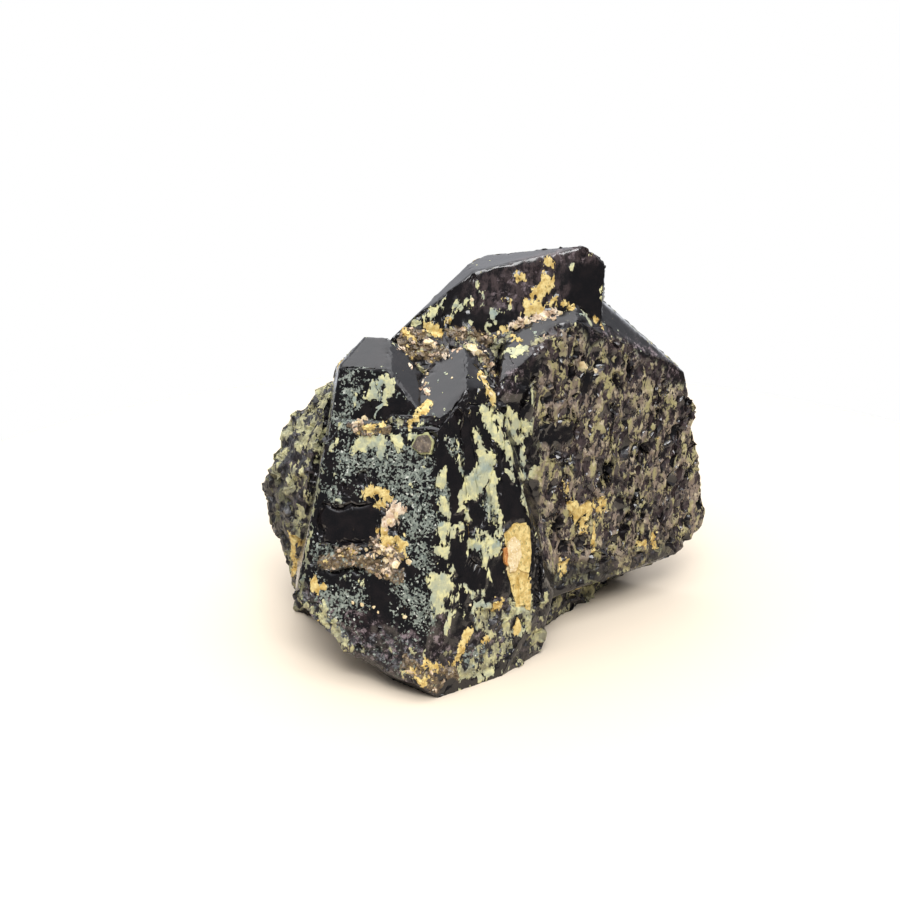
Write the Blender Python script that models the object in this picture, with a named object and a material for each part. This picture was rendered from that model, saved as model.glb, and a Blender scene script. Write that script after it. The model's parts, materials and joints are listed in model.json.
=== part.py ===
"""Morion quartz specimen: dark crystals grown together on a broken base, as one closed solid.

Lengths in the tables are millimetres and angles are degrees; the mesh is in metres.
+X is right, +Y is back and +Z is up. The specimen rests on its clipped underside at z = 0.
"""
import math

import bmesh
import bpy
from mathutils import Matrix, Vector, noise

MM = 0.001
BLOCK = 0.3
CUT_LIMIT = 0.000001

# Lean of a crystal's long axis: degrees to the right, degrees to the back
PAIR_LEAN = (4, 20)
LARGE_LEAN = (17, 20)

PAIR_CENTRE = (-15, 8, 20)
LARGE_CENTRE = (22, 22, 20)
BLADE_CENTRE = (0, 25, 50)

# Crystals end just under the floor, where the joined body is clipped
BELOW_FLOOR = -2

# A face is (turn about the long axis from the front, rise toward the tip, distance from the centre).
# Quartz prism faces rise 0 and its tip faces rise 38, with 60 between neighbours.
# Faces with other angles are breaks and grown-together borders.
TIP_RISE = 38

TRUNK = [
    (-25, 0, 24.5), (35, 0, 25.5), (-85, 7, 23.5),
    (-25, TIP_RISE, 34.5), (-85, TIP_RISE, 29.5),
    (70, 14, 28.5), (98, -11, 31.0), (55, -10, 30.5),
    (155, 0, 22.0), (-145, 0, 20.0), (0, 90, 30.5),
    (-115, -52, 19.0), (-60, -60, 29.5), (60, -62, 36.5), (100, -45, 34.5),
]
LEFT_HEAD = [
    (-25, 0, 23.5), (35, 0, 24.5), (-85, 5, 22.5),
    (-25, TIP_RISE, 41.0), (35, TIP_RISE, 33.5), (-85, TIP_RISE, 38.0),
    (95, TIP_RISE, 21.0), (155, TIP_RISE, 12.5),
    (155, 0, 14.0), (-145, 0, 18.0), (0, -90, 0.0),
]
RIGHT_HEAD = [
    (-25, 0, 24.0), (35, 0, 25.2), (70, 14, 28.1),
    (-25, TIP_RISE, 35.5), (35, TIP_RISE, 40.5), (-85, TIP_RISE, 23.5),
    (95, TIP_RISE, 32.0), (155, TIP_RISE, 17.0),
    (155, 0, -8.0), (-145, 0, -13.0), (0, -90, 0.0),
]
LARGE = [
    (33, 0, 8.0), (-87, 0, 31.0), (153, 0, 22.0), (-147, 0, 22.0),
    (-27, TIP_RISE, 45.0), (35, TIP_RISE, 30.5), (68, 65, 40.0),
    (153, TIP_RISE, 38.0), (-87, TIP_RISE, 44.0), (-147, TIP_RISE, 40.0),
    (87, 29, 30.0), (87, -30, 22.0), (74, -52, 14.5),
]
BLADE = [
    (0, 0, 13.5), (18, 0, 16.0), (33, 0, 19.5), (79, 13, 25.5), (180, 0, 2.0),
    (-72, 33, 24.0), (-61, 56, 27.5), (62, 60, 38.5), (-176, 60, 23.5),
    (-115, 20, 15.5), (-96, -17, 20.5), (0, -90, 34.0),
]
BACK_LEFT = [
    (-25, 0, 11.0), (35, 0, 12.0), (95, 0, 13.0), (155, 0, 12.0), (-145, 0, 13.0), (-85, 0, 11.0),
    (-25, TIP_RISE, 22.0), (35, TIP_RISE, 26.0), (95, TIP_RISE, 22.0),
    (155, TIP_RISE, 21.0), (-145, TIP_RISE, 24.0), (-85, TIP_RISE, 22.0),
]
BACK_RIGHT = [
    (-27, 0, 12.0), (33, 0, 12.0), (93, 0, 13.0), (153, 0, 11.0), (-147, 0, 12.0), (-87, 0, 12.0),
    (-27, TIP_RISE, 31.0), (33, TIP_RISE, 29.0), (93, TIP_RISE, 30.0),
    (153, TIP_RISE, 27.0), (-147, TIP_RISE, 31.0), (-87, TIP_RISE, 28.0),
]

CRYSTALS = [
    ("trunk", PAIR_LEAN, PAIR_CENTRE, TRUNK),
    ("left_head", PAIR_LEAN, PAIR_CENTRE, LEFT_HEAD),
    ("right_head", PAIR_LEAN, PAIR_CENTRE, RIGHT_HEAD),
    ("large", LARGE_LEAN, LARGE_CENTRE, LARGE),
    ("blade", LARGE_LEAN, BLADE_CENTRE, BLADE),
    ("back_left", (-8, 26), (-20, 38, 18), BACK_LEFT),
    ("back_right", (12, 30), (10, 46, 18), BACK_RIGHT),
]

# Rough masses: corners of a block, longest edge of its net, depth of its unevenness, seed
LEFT_LOBE = [
    (-32, 22, 51), (-36, 24, 47), (-41, 26, 43), (-45, 26, 36), (-48, 24, 30), (-48.5, 24, 27),
    (-46, 22, 25), (-40, 17, 18), (-38, 14, 13), (-39, 14, 5), (-40, 14, -1),
    (-37, 6, 38), (-39, 7, 26), (-38, 6, 15), (-33, 16, 50),
    (-20, 36, 52), (-26, 44, 44), (-38, 44, 34), (-40, 42, 16), (-34, 40, -1), (-20, 20, 20), (-24, 12, -1),
]
BROKEN_BASE = [
    (-33, 6, -1), (-12, -8, -1), (8, -2, -1), (19, 28, -1), (36, 42, -1), (34, 58, -1),
    (6, 68, -1), (-26, 58, -1), (-40, 34, -1),
    (-28, 12, 30), (0, 8, 34), (34, 40, 26), (32, 56, 24), (6, 66, 30), (-26, 54, 30),
]
GULLY_FILL = [
    (-18, 8, 63.5), (-11, 6, 60), (-6, 8, 62.5), (0, 7, 61), (3, 4, 57),
    (-16, 15, 67.5), (-9, 16, 66.5), (2, 18, 64), (-18, 6, 52), (4, 2, 52), (-18, 18, 52), (4, 18, 52),
]
BLADE_FOOT = [
    (-2, 13.5, 63), (-2, 18, 67), (8, 15.5, 65.3), (8, 19.5, 69.5), (16, 20, 69), (17, 24, 72),
    (-2, 22, 58), (16, 28, 62), (-2, 14, 58), (8, 17, 60),
]
UNDERSIDE = [
    (-28, 14, -8), (-8, -2, -8), (12, 20, -8), (26, 52, -8), (0, 62, -8), (-28, 52, -8),
    (-26, 15, 1), (-8, 0, 1), (10, 20, 1), (24, 51, 1), (0, 60, 1), (-26, 50, 1),
]
MASSES = [
    ("left_lobe", LEFT_LOBE, 4.0, 2.0, 3),
    ("broken_base", BROKEN_BASE, 6.0, 3.0, 7),
    ("gully_fill", GULLY_FILL, 3.0, 1.2, 12),
    ("blade_foot", BLADE_FOOT, 2.6, 0.8, 5),
]
BROKEN_UNDERSIDE = ("underside", UNDERSIDE, 6.0, 2.4, 21)
# EXACT loses the body when a rough mass joins it, and MANIFOLD keeps it
ROUGH_SOLVER = "MANIFOLD"
CHIP = 7.5
SMALL_CHIP = 3.2
CHIP_SCATTER = 9.1
CHIP_TILT = 2.2
CHIP_STEP = 1.2
HALF = Vector((0.5, 0.5, 0.5))
WAVE = 16.0
CHIP_SHARE, SMALL_SHARE, WAVE_SHARE = 0.5, 0.25, 0.4
REFINE_ROUNDS = 8

# Details on one crystal face: corners are (across, up) from the crystal's centre
FRONT_FACE = (PAIR_LEAN, PAIR_CENTRE, -25, 0, 24.5)
RIGHT_FACE = (PAIR_LEAN, PAIR_CENTRE, 35, 0, 25.5)
LARGE_FACE = (LARGE_LEAN, LARGE_CENTRE, 33, 0, 8.0)
HOLLOWS = [
    ("glassy_window", FRONT_FACE, [(-11, 8), (3.5, 9), (4.5, 0), (-11, -1)], 0.7),
    ("upper_pit", FRONT_FACE, [(-2.6, 15), (-0.6, 15.6), (0.8, 13), (-1, 11.6), (-2.8, 12.8)], 1.1),
    ("lower_pit", FRONT_FACE, [(-6, 12.6), (-3.8, 12.2), (-3.6, 10.2), (-5.4, 9.8)], 0.9),
    ("flake_bed", RIGHT_FACE, [(5, 4.5), (8, 6.5), (11.6, 6.6), (13, -1), (13.6, -11.5), (10, -12)], 1.0),
    ("flake_slot", RIGHT_FACE, [(13.6, 6.2), (15.6, 5.8), (17, -11), (14.9, -12)], 1.4),
    ("upper_step", LARGE_FACE, [(-27, 19), (-16, 21), (-12.5, 12), (-24, 10)], 0.7),
    ("lower_step", LARGE_FACE, [(-6, 6), (8, 9), (9, -4), (-3, -6)], 0.8),
]
LEDGES = [
    ("plate_on_front", FRONT_FACE, [(10.8, 23.4), (14.2, 23.4), (15, 21.6), (13.8, 19.6), (10.4, 20)], 0.6),
    ("crumb_band", FRONT_FACE, [(-12, -4), (-5, -2), (2, 0), (6, 3), (7, -1), (3, -4), (-5, -6), (-11, -6)], 1.0),
    ("crumb_column", FRONT_FACE, [(2.6, 9), (6, 8), (7.6, 1), (5, -2), (3.6, 1)], 0.8),
    ("right_rib", RIGHT_FACE, [(-9, 30), (-7, 34), (-2, 12), (0, -4), (-3, -2), (-6, 12)], 0.5),
    ("middle_rib", RIGHT_FACE, [(0, 30), (3, 32), (4, 14), (3, 6), (1, 10)], 0.5),
    ("large_rib_1", LARGE_FACE, [(-33, 24), (-31, 27), (-24, 2), (-22, -12), (-25, -10), (-28, 4)], 0.6),
    ("large_rib_2", LARGE_FACE, [(-22, 34), (-20, 36), (-14, 10), (-9, -6), (-12, -5), (-17, 10)], 0.6),
    ("large_rib_3", LARGE_FACE, [(-9, 38), (-6.5, 38), (-3, 16), (-1, 8), (-4, 12), (-7, 26)], 0.5),
    ("large_rib_4", LARGE_FACE, [(3, 36), (5.5, 36), (10, 12), (12, -3), (9.6, -3), (6, 12)], 0.7),
    ("large_rib_5", LARGE_FACE, [(14, 34), (16, 33), (19, 14), (20, 2), (17, 4), (15, 18)], 0.6),
]
SUNK = 1.5
TAPER = 0.6

MORION_COLOUR = (0.012, 0.011, 0.013, 1.0)
MORION_ROUGHNESS = 0.18


def clear_objects():
    for item in list(bpy.data.objects):
        bpy.data.objects.remove(item, do_unlink=True)


def axes_of(lean):
    """Long axis, front direction and right direction of a leaning crystal."""
    side, back = (math.radians(angle) for angle in lean)
    long_axis = Vector((math.sin(side), math.cos(side) * math.sin(back), math.cos(side) * math.cos(back)))
    front = Vector((0, -1, 0))
    front = (front - long_axis * front.dot(long_axis)).normalized()
    return long_axis, front, long_axis.cross(front)


def face_normal(lean, turn, rise):
    long_axis, front, right = axes_of(lean)
    turn, rise = math.radians(turn), math.radians(rise)
    level = right * math.sin(turn) + front * math.cos(turn)
    return level * math.cos(rise) + long_axis * math.sin(rise)


def link(name, mesh):
    made = bpy.data.objects.new(name, mesh)
    bpy.context.scene.collection.objects.link(made)
    return made


def solid(name, shape):
    """Turn a closed bmesh into an object, with its faces pointing out."""
    bmesh.ops.remove_doubles(shape, verts=shape.verts, dist=CUT_LIMIT)
    bmesh.ops.recalc_face_normals(shape, faces=shape.faces)
    mesh = bpy.data.meshes.new(name)
    shape.to_mesh(mesh)
    shape.free()
    return link(name, mesh)


def cut_off(shape, point, normal):
    """Remove what lies past a plane and close the cut."""
    parts = shape.verts[:] + shape.edges[:] + shape.faces[:]
    plane = {"plane_co": point, "plane_no": normal}
    cut = bmesh.ops.bisect_plane(shape, geom=parts, dist=CUT_LIMIT, clear_outer=True, **plane)
    rim = [part for part in cut["geom_cut"] if isinstance(part, bmesh.types.BMEdge)]
    bmesh.ops.holes_fill(shape, edges=rim)


def crystal(name, lean, centre, faces):
    """A block cut down to the planes of the crystal's faces."""
    middle = Vector(centre) * MM
    shape = bmesh.new()
    bmesh.ops.create_cube(shape, size=BLOCK, matrix=Matrix.Translation(middle))
    for turn, rise, distance in faces:
        normal = face_normal(lean, turn, rise)
        cut_off(shape, middle + normal * distance * MM, normal)
    cut_off(shape, Vector((0, 0, BELOW_FLOOR * MM)), Vector((0, 0, -1)))
    return solid(name, shape)


def hull_of(name, points):
    shape = bmesh.new()
    for point in points:
        shape.verts.new(point)
    made = bmesh.ops.convex_hull(shape, input=shape.verts)
    loose = [part for part in made["geom_interior"] if isinstance(part, bmesh.types.BMVert)]
    bmesh.ops.delete(shape, geom=loose, context="VERTS")
    return solid(name, shape)


def split_faces(item):
    """Cut every face into triangles, so that each one is flat."""
    shape = bmesh.new()
    shape.from_mesh(item.data)
    bmesh.ops.triangulate(shape, faces=shape.faces)
    shape.to_mesh(item.data)
    shape.free()
    item.data.update()


def use_modifiers(item):
    """Keep the result of an object's modifiers as its mesh."""
    seen = item.evaluated_get(bpy.context.evaluated_depsgraph_get())
    mesh = bpy.data.meshes.new_from_object(seen)
    item.modifiers.clear()
    item.data = mesh


def chips(place, size):
    """Height of a field of tilted flat chips, between about -1 and 1."""
    spot = place / size
    middle = noise.voronoi(spot)[1][0]
    tilt = (noise.cell_vector(middle * CHIP_SCATTER) - HALF) * CHIP_TILT
    return noise.noise(middle * CHIP_SCATTER) * CHIP_STEP + tilt.dot(spot - middle)


def unevenness(place, seed):
    """Broken-rock relief: flat chips of two sizes with a little waviness."""
    moved = place + Vector((seed * 13.7, seed * 5.1, seed * 9.3))
    wave = noise.noise(moved / WAVE)
    return CHIP_SHARE * chips(moved, CHIP) + SMALL_SHARE * chips(moved, SMALL_CHIP) + WAVE_SHARE * wave


def refined(item, longest):
    """Split an object's faces until no edge is longer than the given length."""
    shape = bmesh.new()
    shape.from_mesh(item.data)
    for _ in range(REFINE_ROUNDS):
        long_edges = [edge for edge in shape.edges if edge.calc_length() > longest * MM]
        if not long_edges:
            break
        bmesh.ops.subdivide_edges(shape, edges=long_edges, cuts=1)
        bmesh.ops.triangulate(shape, faces=shape.faces)
    shape.to_mesh(item.data)
    shape.free()
    item.data.update()


def rough_mass(name, corners, longest, depth, seed):
    made = hull_of(name, [Vector(corner) * MM for corner in corners])
    refined(made, longest)
    normals = [Vector(entry.vector) for entry in made.data.vertex_normals]
    for vertex, normal in zip(made.data.vertices, normals):
        vertex.co += normal * unevenness(vertex.co / MM, seed) * depth * MM
    made.data.update()
    return made


def on_face(face, across, up, out):
    """A point given on a crystal face: across, up along the long axis, and outward."""
    lean, centre, turn, rise, distance = face
    long_axis = axes_of(lean)[0]
    normal = face_normal(lean, turn, rise)
    sideways = long_axis.cross(normal).normalized()
    upward = normal.cross(sideways)
    return (Vector(centre) + normal * (distance + out) + sideways * across + upward * up) * MM


def tapered_block(name, face, outline, low, high, taper):
    """A block standing on a face between two heights; its top is drawn in by the taper."""
    middle_across = sum(point[0] for point in outline) / len(outline)
    middle_up = sum(point[1] for point in outline) / len(outline)
    points = []
    for across, up in outline:
        points.append(on_face(face, across, up, low))
        reach = math.hypot(across - middle_across, up - middle_up)
        share = 1 - taper / reach
        inner = (middle_across + (across - middle_across) * share, middle_up + (up - middle_up) * share)
        points.append(on_face(face, inner[0], inner[1], high))
    return hull_of(name, points)


def combine(base, tool, operation, solver="EXACT"):
    split_faces(base)
    split_faces(tool)
    change = base.modifiers.new(operation.lower(), "BOOLEAN")
    change.operation = operation
    change.solver = solver
    change.object = tool
    use_modifiers(base)
    bpy.data.objects.remove(tool, do_unlink=True)


def block_below_floor():
    shape = bmesh.new()
    bmesh.ops.create_cube(shape, size=BLOCK, matrix=Matrix.Translation((0, 0, -BLOCK / 2)))
    return solid("below_floor", shape)


def touching_groups(shape):
    """The mesh's corners in groups that hang together, the largest first."""
    left = set(shape.verts)
    groups = []
    while left:
        group, waiting = set(), [left.pop()]
        while waiting:
            vertex = waiting.pop()
            group.add(vertex)
            near = [edge.other_vert(vertex) for edge in vertex.link_edges]
            waiting.extend(other for other in near if other in left)
            left.difference_update(near)
        groups.append(group)
    return sorted(groups, key=len, reverse=True)


def keep_largest_piece(item):
    """Drop crumbs that a cut left free of the body."""
    shape = bmesh.new()
    shape.from_mesh(item.data)
    for group in touching_groups(shape)[1:]:
        bmesh.ops.delete(shape, geom=list(group), context="VERTS")
    shape.to_mesh(item.data)
    shape.free()


def centre_on_base(item):
    corners = [vertex.co for vertex in item.data.vertices]
    low = [min(corner[axis] for corner in corners) for axis in range(3)]
    high = [max(corner[axis] for corner in corners) for axis in range(3)]
    shift = Vector((-(low[0] + high[0]) / 2, -(low[1] + high[1]) / 2, -low[2]))
    item.data.transform(Matrix.Translation(shift))
    print("shift", [round(value / MM, 2) for value in shift])
    print("size", [round((high[axis] - low[axis]) / MM, 1) for axis in range(3)])


def morion_material():
    made = bpy.data.materials.new("morion_quartz")
    made.use_nodes = True
    surface = made.node_tree.nodes["Principled BSDF"]
    surface.inputs["Base Color"].default_value = MORION_COLOUR
    surface.inputs["Roughness"].default_value = MORION_ROUGHNESS
    return made


def build():
    clear_objects()
    body = crystal("morion_quartz_cluster", *CRYSTALS[0][1:])
    for entry in CRYSTALS[1:]:
        combine(body, crystal(*entry), "UNION")
    for entry in MASSES:
        combine(body, rough_mass(*entry), "UNION", ROUGH_SOLVER)
    for name, face, outline, height in LEDGES:
        combine(body, tapered_block(name, face, outline, -SUNK, height, TAPER), "UNION", ROUGH_SOLVER)
    for name, face, outline, depth in HOLLOWS:
        cutter = tapered_block(name, face, outline, SUNK, -depth, TAPER)
        combine(body, cutter, "DIFFERENCE", ROUGH_SOLVER)
    combine(body, block_below_floor(), "DIFFERENCE", ROUGH_SOLVER)
    combine(body, rough_mass(*BROKEN_UNDERSIDE), "DIFFERENCE", ROUGH_SOLVER)
    keep_largest_piece(body)
    centre_on_base(body)
    body.data.materials.clear()
    body.data.materials.append(morion_material())
    print("triangles", len(body.data.polygons))


build()
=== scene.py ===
"""Morion quartz specimen: the finished look of a cluster of black quartz crystals with mineral crusts.

Work is done in millimetres in the crystals' own frame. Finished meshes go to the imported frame, in metres.
Patches of crust are strokes over the view of the photograph, laid on the solid by rays from the camera.
"""

import json
import math
from collections import namedtuple
from functools import partial

import bmesh
import bpy
import numpy as np
from mathutils import Matrix, Vector
from mathutils.bvhtree import BVHTree

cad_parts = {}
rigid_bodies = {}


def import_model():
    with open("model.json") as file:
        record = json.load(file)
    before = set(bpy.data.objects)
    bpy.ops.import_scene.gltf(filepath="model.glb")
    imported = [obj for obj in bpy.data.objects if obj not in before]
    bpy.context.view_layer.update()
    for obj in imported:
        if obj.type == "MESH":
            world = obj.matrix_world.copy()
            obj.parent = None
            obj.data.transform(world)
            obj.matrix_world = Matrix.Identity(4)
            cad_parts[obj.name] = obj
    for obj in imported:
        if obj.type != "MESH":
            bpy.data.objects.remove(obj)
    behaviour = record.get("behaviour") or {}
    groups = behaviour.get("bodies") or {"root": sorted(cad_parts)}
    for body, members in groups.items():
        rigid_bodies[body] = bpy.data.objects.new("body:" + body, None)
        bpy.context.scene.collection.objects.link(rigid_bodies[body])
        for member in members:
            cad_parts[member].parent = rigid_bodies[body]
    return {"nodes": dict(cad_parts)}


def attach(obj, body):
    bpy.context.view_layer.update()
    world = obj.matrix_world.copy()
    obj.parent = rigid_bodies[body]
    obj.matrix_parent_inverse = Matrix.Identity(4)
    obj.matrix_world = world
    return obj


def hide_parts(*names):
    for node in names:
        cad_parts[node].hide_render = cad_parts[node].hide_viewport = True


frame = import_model()

NODE = "morion_quartz_cluster"
MM = 0.001
CAD_CORNERS = np.array([vertex.co[:] for vertex in frame["nodes"][NODE].data.vertices])
CAD_LOW, CAD_HIGH = CAD_CORNERS.min(axis=0), CAD_CORNERS.max(axis=0)
WELD = 0.005 * MM

# The crystals' own frame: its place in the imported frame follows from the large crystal's outermost corner
RIGHT_CORNER = 51.912
FRONT_CORNER = -28.348
SHIFT = np.array([CAD_HIGH[0] / MM - RIGHT_CORNER, CAD_LOW[1] / MM - FRONT_CORNER, 0.0])

# The photograph's camera, in the crystals' frame
EYE = np.array([-6.74, -417.66, 196.50])
PITCH = 20.0
FOCAL_PIXELS = 2117.0
PHOTO_SIZE = 900
SENSOR = 36.0

# Lean of the crystals' long axes to the right and to the back, in degrees, and a point inside each
PAIR_LEAN, PAIR_CENTRE = (4, 20), (-15, 8, 20)
LARGE_LEAN, LARGE_CENTRE = (17, 20), (22, 22, 20)
# Turn is about the long axis and rise toward the tip, in degrees; distance is from the centre
Face = namedtuple("Face", "lean centre turn rise distance")
FRONT_FACE = Face(PAIR_LEAN, PAIR_CENTRE, -25, 0, 24.5)
RIGHT_FACE = Face(PAIR_LEAN, PAIR_CENTRE, 35, 0, 25.5)
LARGE_FACE = Face(LARGE_LEAN, LARGE_CENTRE, 33, 0, 8.0)
# Faces with steps: the face, and its extent across and up
STEPPED_FACES = [
    (FRONT_FACE, (-14, 15), (-22, 26)),
    (RIGHT_FACE, (-15, 19), (-24, 36)),
    (LARGE_FACE, (-38, 32), (-16, 42)),
]
# How far the solid's steps are evened out, how deep a step is, and how far its sides are made to wander
STEP_EASING = 0.55
STEP_DEPTH = 1.7
WARP_SIZE = 4.0
WARP_REACH = 1.3

# Longest edges of the surface net: where the photograph looks, and elsewhere
FINE_EDGE = 0.92
COARSE_EDGE = 2.4
SPLIT_ROUNDS = 40
SHARP_ANGLE = math.radians(32)

# Triangles this near to level are one face, and a face under this many square millimetres is broken rock
FLAT_ENOUGH = math.cos(math.radians(1.5))
WIDE_FACE = 22.0
# Least turn between two wide faces at a crystal's edge, and how many times that mark is blurred over the net
RIDGE_TURN = 0.2
RIDGE_SPREAD = 5
# Least length that a direction is divided by, and the same at corners, where slivers give no direction
TINY = 1e-12
SLIVER = 1e-9


def smooth_step(low, high, value):
    share = np.clip((value - low) / (high - low), 0, 1)
    return share * share * (3 - 2 * share)


def mixed(first, second, share):
    return first + (second - first) * share


# Repeatable noise on arrays of points
def hashed(cells, seed):
    """A pseudo-random whole number for each lattice point."""
    parts = cells.astype(np.int64).astype(np.uint32)
    value = parts[..., 0] * np.uint32(73856093)
    value = value ^ (parts[..., 1] * np.uint32(19349663))
    value = value ^ (parts[..., 2] * np.uint32(83492791))
    value = value ^ np.uint32((seed * 2654435761) % 4294967296)
    value = (value ^ (value >> np.uint32(13))) * np.uint32(1274126177)
    value = (value ^ (value >> np.uint32(15))) * np.uint32(2246822519)
    return value ^ (value >> np.uint32(16))


def three_of(value):
    """Three numbers from 0 to 1 out of each hash."""
    parts = [(value >> np.uint32(bits)) & np.uint32(1023) for bits in (0, 10, 20)]
    return np.stack(parts, axis=-1) / 1023.0


def noise(points, size, seed):
    """Smooth gradient noise between about -1 and 1, with features of the given size."""
    spot = points / size
    low = np.floor(spot)
    part = spot - low
    fade = part * part * part * (part * (part * 6 - 15) + 10)
    total = np.zeros(len(points))
    for corner in np.ndindex(2, 2, 2):
        step = np.array(corner, float)
        slope = three_of(hashed(low + step, seed)) * 2 - 1
        weight = np.prod(np.where(step > 0, fade, 1 - fade), axis=1)
        total += weight * np.einsum("ij,ij->i", slope, part - step)
    return total * 1.7


def layered(points, size, seed, layers=3, keep=0.5):
    total = 0
    for layer in range(layers):
        total = total + noise(points, size / 2 ** layer, seed + layer) * keep ** layer
    return total


def cells(points, size, seed):
    """Distances to the nearest two scattered points, the offset from the nearest, and its three numbers."""
    spot = points / size
    low = np.floor(spot)
    first = np.full(len(points), 9.0)
    second = np.full(len(points), 9.0)
    offset = np.zeros_like(points)
    numbers = np.zeros_like(points)
    for step in np.ndindex(3, 3, 3):
        cell = low + np.array(step) - 1
        random = three_of(hashed(cell, seed))
        away = spot - cell - random
        distance = np.linalg.norm(away, axis=1)
        nearer = distance < first
        second = np.where(nearer, first, np.minimum(second, distance))
        first = np.where(nearer, distance, first)
        offset[nearer] = away[nearer]
        numbers[nearer] = three_of(hashed(cell[nearer], seed + 1))
    return first, second, offset, numbers


def chips(points, size, seed):
    """Height of tilted flat chips, as on broken rock, between about -1 and 1."""
    offset, numbers = cells(points, size, seed)[2:]
    tilt = numbers[:, [1, 2, 0]] * 2 - 1
    return (numbers[:, 0] - 0.5) * 1.1 + np.einsum("ij,ij->i", tilt, offset) * 0.9

# Crystal directions
def axes_of(lean):
    """A crystal's long axis, and two directions across it, to the front and to the right."""
    side, back = (math.radians(angle) for angle in lean)
    long_axis = Vector((math.sin(side), math.cos(side) * math.sin(back), math.cos(side) * math.cos(back)))
    front = Vector((0, -1, 0))
    front = (front - long_axis * front.dot(long_axis)).normalized()
    return long_axis, front, long_axis.cross(front)


def face_axes(face):
    """Directions across, up and out of a crystal face."""
    long_axis, front, right = axes_of(face.lean)
    turn, rise = math.radians(face.turn), math.radians(face.rise)
    level = right * math.sin(turn) + front * math.cos(turn)
    outward = level * math.cos(rise) + long_axis * math.sin(rise)
    across = long_axis.cross(outward).normalized()
    return np.array([across[:], outward.cross(across)[:], outward[:]])


def along_face(points, face):
    """Across, up and out of a crystal face, for each point."""
    away = points - np.array(face.centre, float)
    across, upward, outward = face_axes(face)
    return np.stack([away @ across, away @ upward, away @ outward - face.distance], axis=1)


def place_on(face, spots):
    """Places in the crystals' frame for (across, up, out) on a crystal face."""
    axes = face_axes(face)
    start = np.array(face.centre, float) + axes[2] * face.distance
    return start + np.asarray(spots, float) @ axes


# The surface net
def merged_solid():
    """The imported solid's corners, in the crystals' frame, and its triangles."""
    shape = bmesh.new()
    shape.from_mesh(frame["nodes"][NODE].data)
    bmesh.ops.remove_doubles(shape, verts=shape.verts, dist=WELD)
    bmesh.ops.triangulate(shape, faces=shape.faces)
    shape.verts.index_update()
    points = np.array([vertex.co[:] for vertex in shape.verts]) / MM - SHIFT
    triangles = np.array([[vertex.index for vertex in face.verts] for face in shape.faces])
    shape.free()
    return points, triangles


def one_long(directions, least=TINY):
    return directions / np.maximum(np.linalg.norm(directions, axis=1, keepdims=True), least)


def dots(first, second):
    return np.einsum("ij,ij->i", first, second)


def normals_of(points, triangles):
    """Each triangle's outward direction, twice as long as its area."""
    sides = points[triangles]
    return np.cross(sides[:, 1] - sides[:, 0], sides[:, 2] - sides[:, 0])


def point_normals(points, triangles):
    flat = normals_of(points, triangles)
    total = np.zeros_like(points)
    for corner in range(3):
        np.add.at(total, triangles[:, corner], flat)
    return one_long(total, SLIVER)


def level_neighbours(triangles, directions):
    """For each triangle, those that share an edge with it and lie level with it."""
    sharing = {}
    for index, triangle in enumerate(triangles.tolist()):
        for edge in zip(triangle, triangle[1:] + triangle[:1]):
            sharing.setdefault(tuple(sorted(edge)), []).append(index)
    near = [[] for _ in triangles]
    for pair in sharing.values():
        if len(pair) == 2 and directions[pair[0]] @ directions[pair[1]] > FLAT_ENOUGH:
            near[pair[0]].append(pair[1])
            near[pair[1]].append(pair[0])
    return near


def broken_share(points, triangles):
    """For each triangle, 1 on a small face, as on broken rock, and 0 on a wide flat one."""
    flat = normals_of(points, triangles)
    area = np.linalg.norm(flat, axis=1) / 2
    near = level_neighbours(triangles, one_long(flat))
    share = np.full(len(triangles), -1.0)
    for start in range(len(triangles)):
        if share[start] >= 0:
            continue
        group, waiting = {start}, [start]
        while waiting:
            found = [other for other in near[waiting.pop()] if other not in group]
            group.update(found)
            waiting += found
        members = sorted(group)
        share[members] = float(area[members].sum() < WIDE_FACE)
    return share


def seen_by_eye(points, normals, low, high):
    """From 0 to 1 as the surface turns toward the photograph's camera."""
    return smooth_step(low, high, dots(one_long(EYE - points), normals))


def edge_limit(middles, normals):
    """Longest edge allowed at each place: short where the photograph looks."""
    stretch = 1.0
    return mixed(COARSE_EDGE, FINE_EDGE, seen_by_eye(middles, normals, -0.25, 0.05)) * stretch


def edges_to_halve(points, triangles):
    """Which edges are too long and a triangle's longest, every edge's middle, and each triangle's edges."""
    pairs = np.concatenate([triangles[:, [0, 1]], triangles[:, [1, 2]], triangles[:, [2, 0]]])
    edges, where = np.unique(np.sort(pairs, axis=1), axis=0, return_inverse=True)
    sides = where.reshape(3, -1)
    turned = np.zeros((len(edges), 3))
    np.add.at(turned, where.reshape(-1), np.concatenate([one_long(normals_of(points, triangles))] * 3))
    ends = points[edges]
    middles = ends.mean(axis=1)
    lengths = np.linalg.norm(ends[:, 0] - ends[:, 1], axis=1)
    longest = np.zeros(len(edges), bool)
    longest[sides[lengths[sides].argmax(axis=0), np.arange(len(triangles))]] = True
    return longest & (lengths > edge_limit(middles, one_long(turned, SLIVER))), middles, sides


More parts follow.
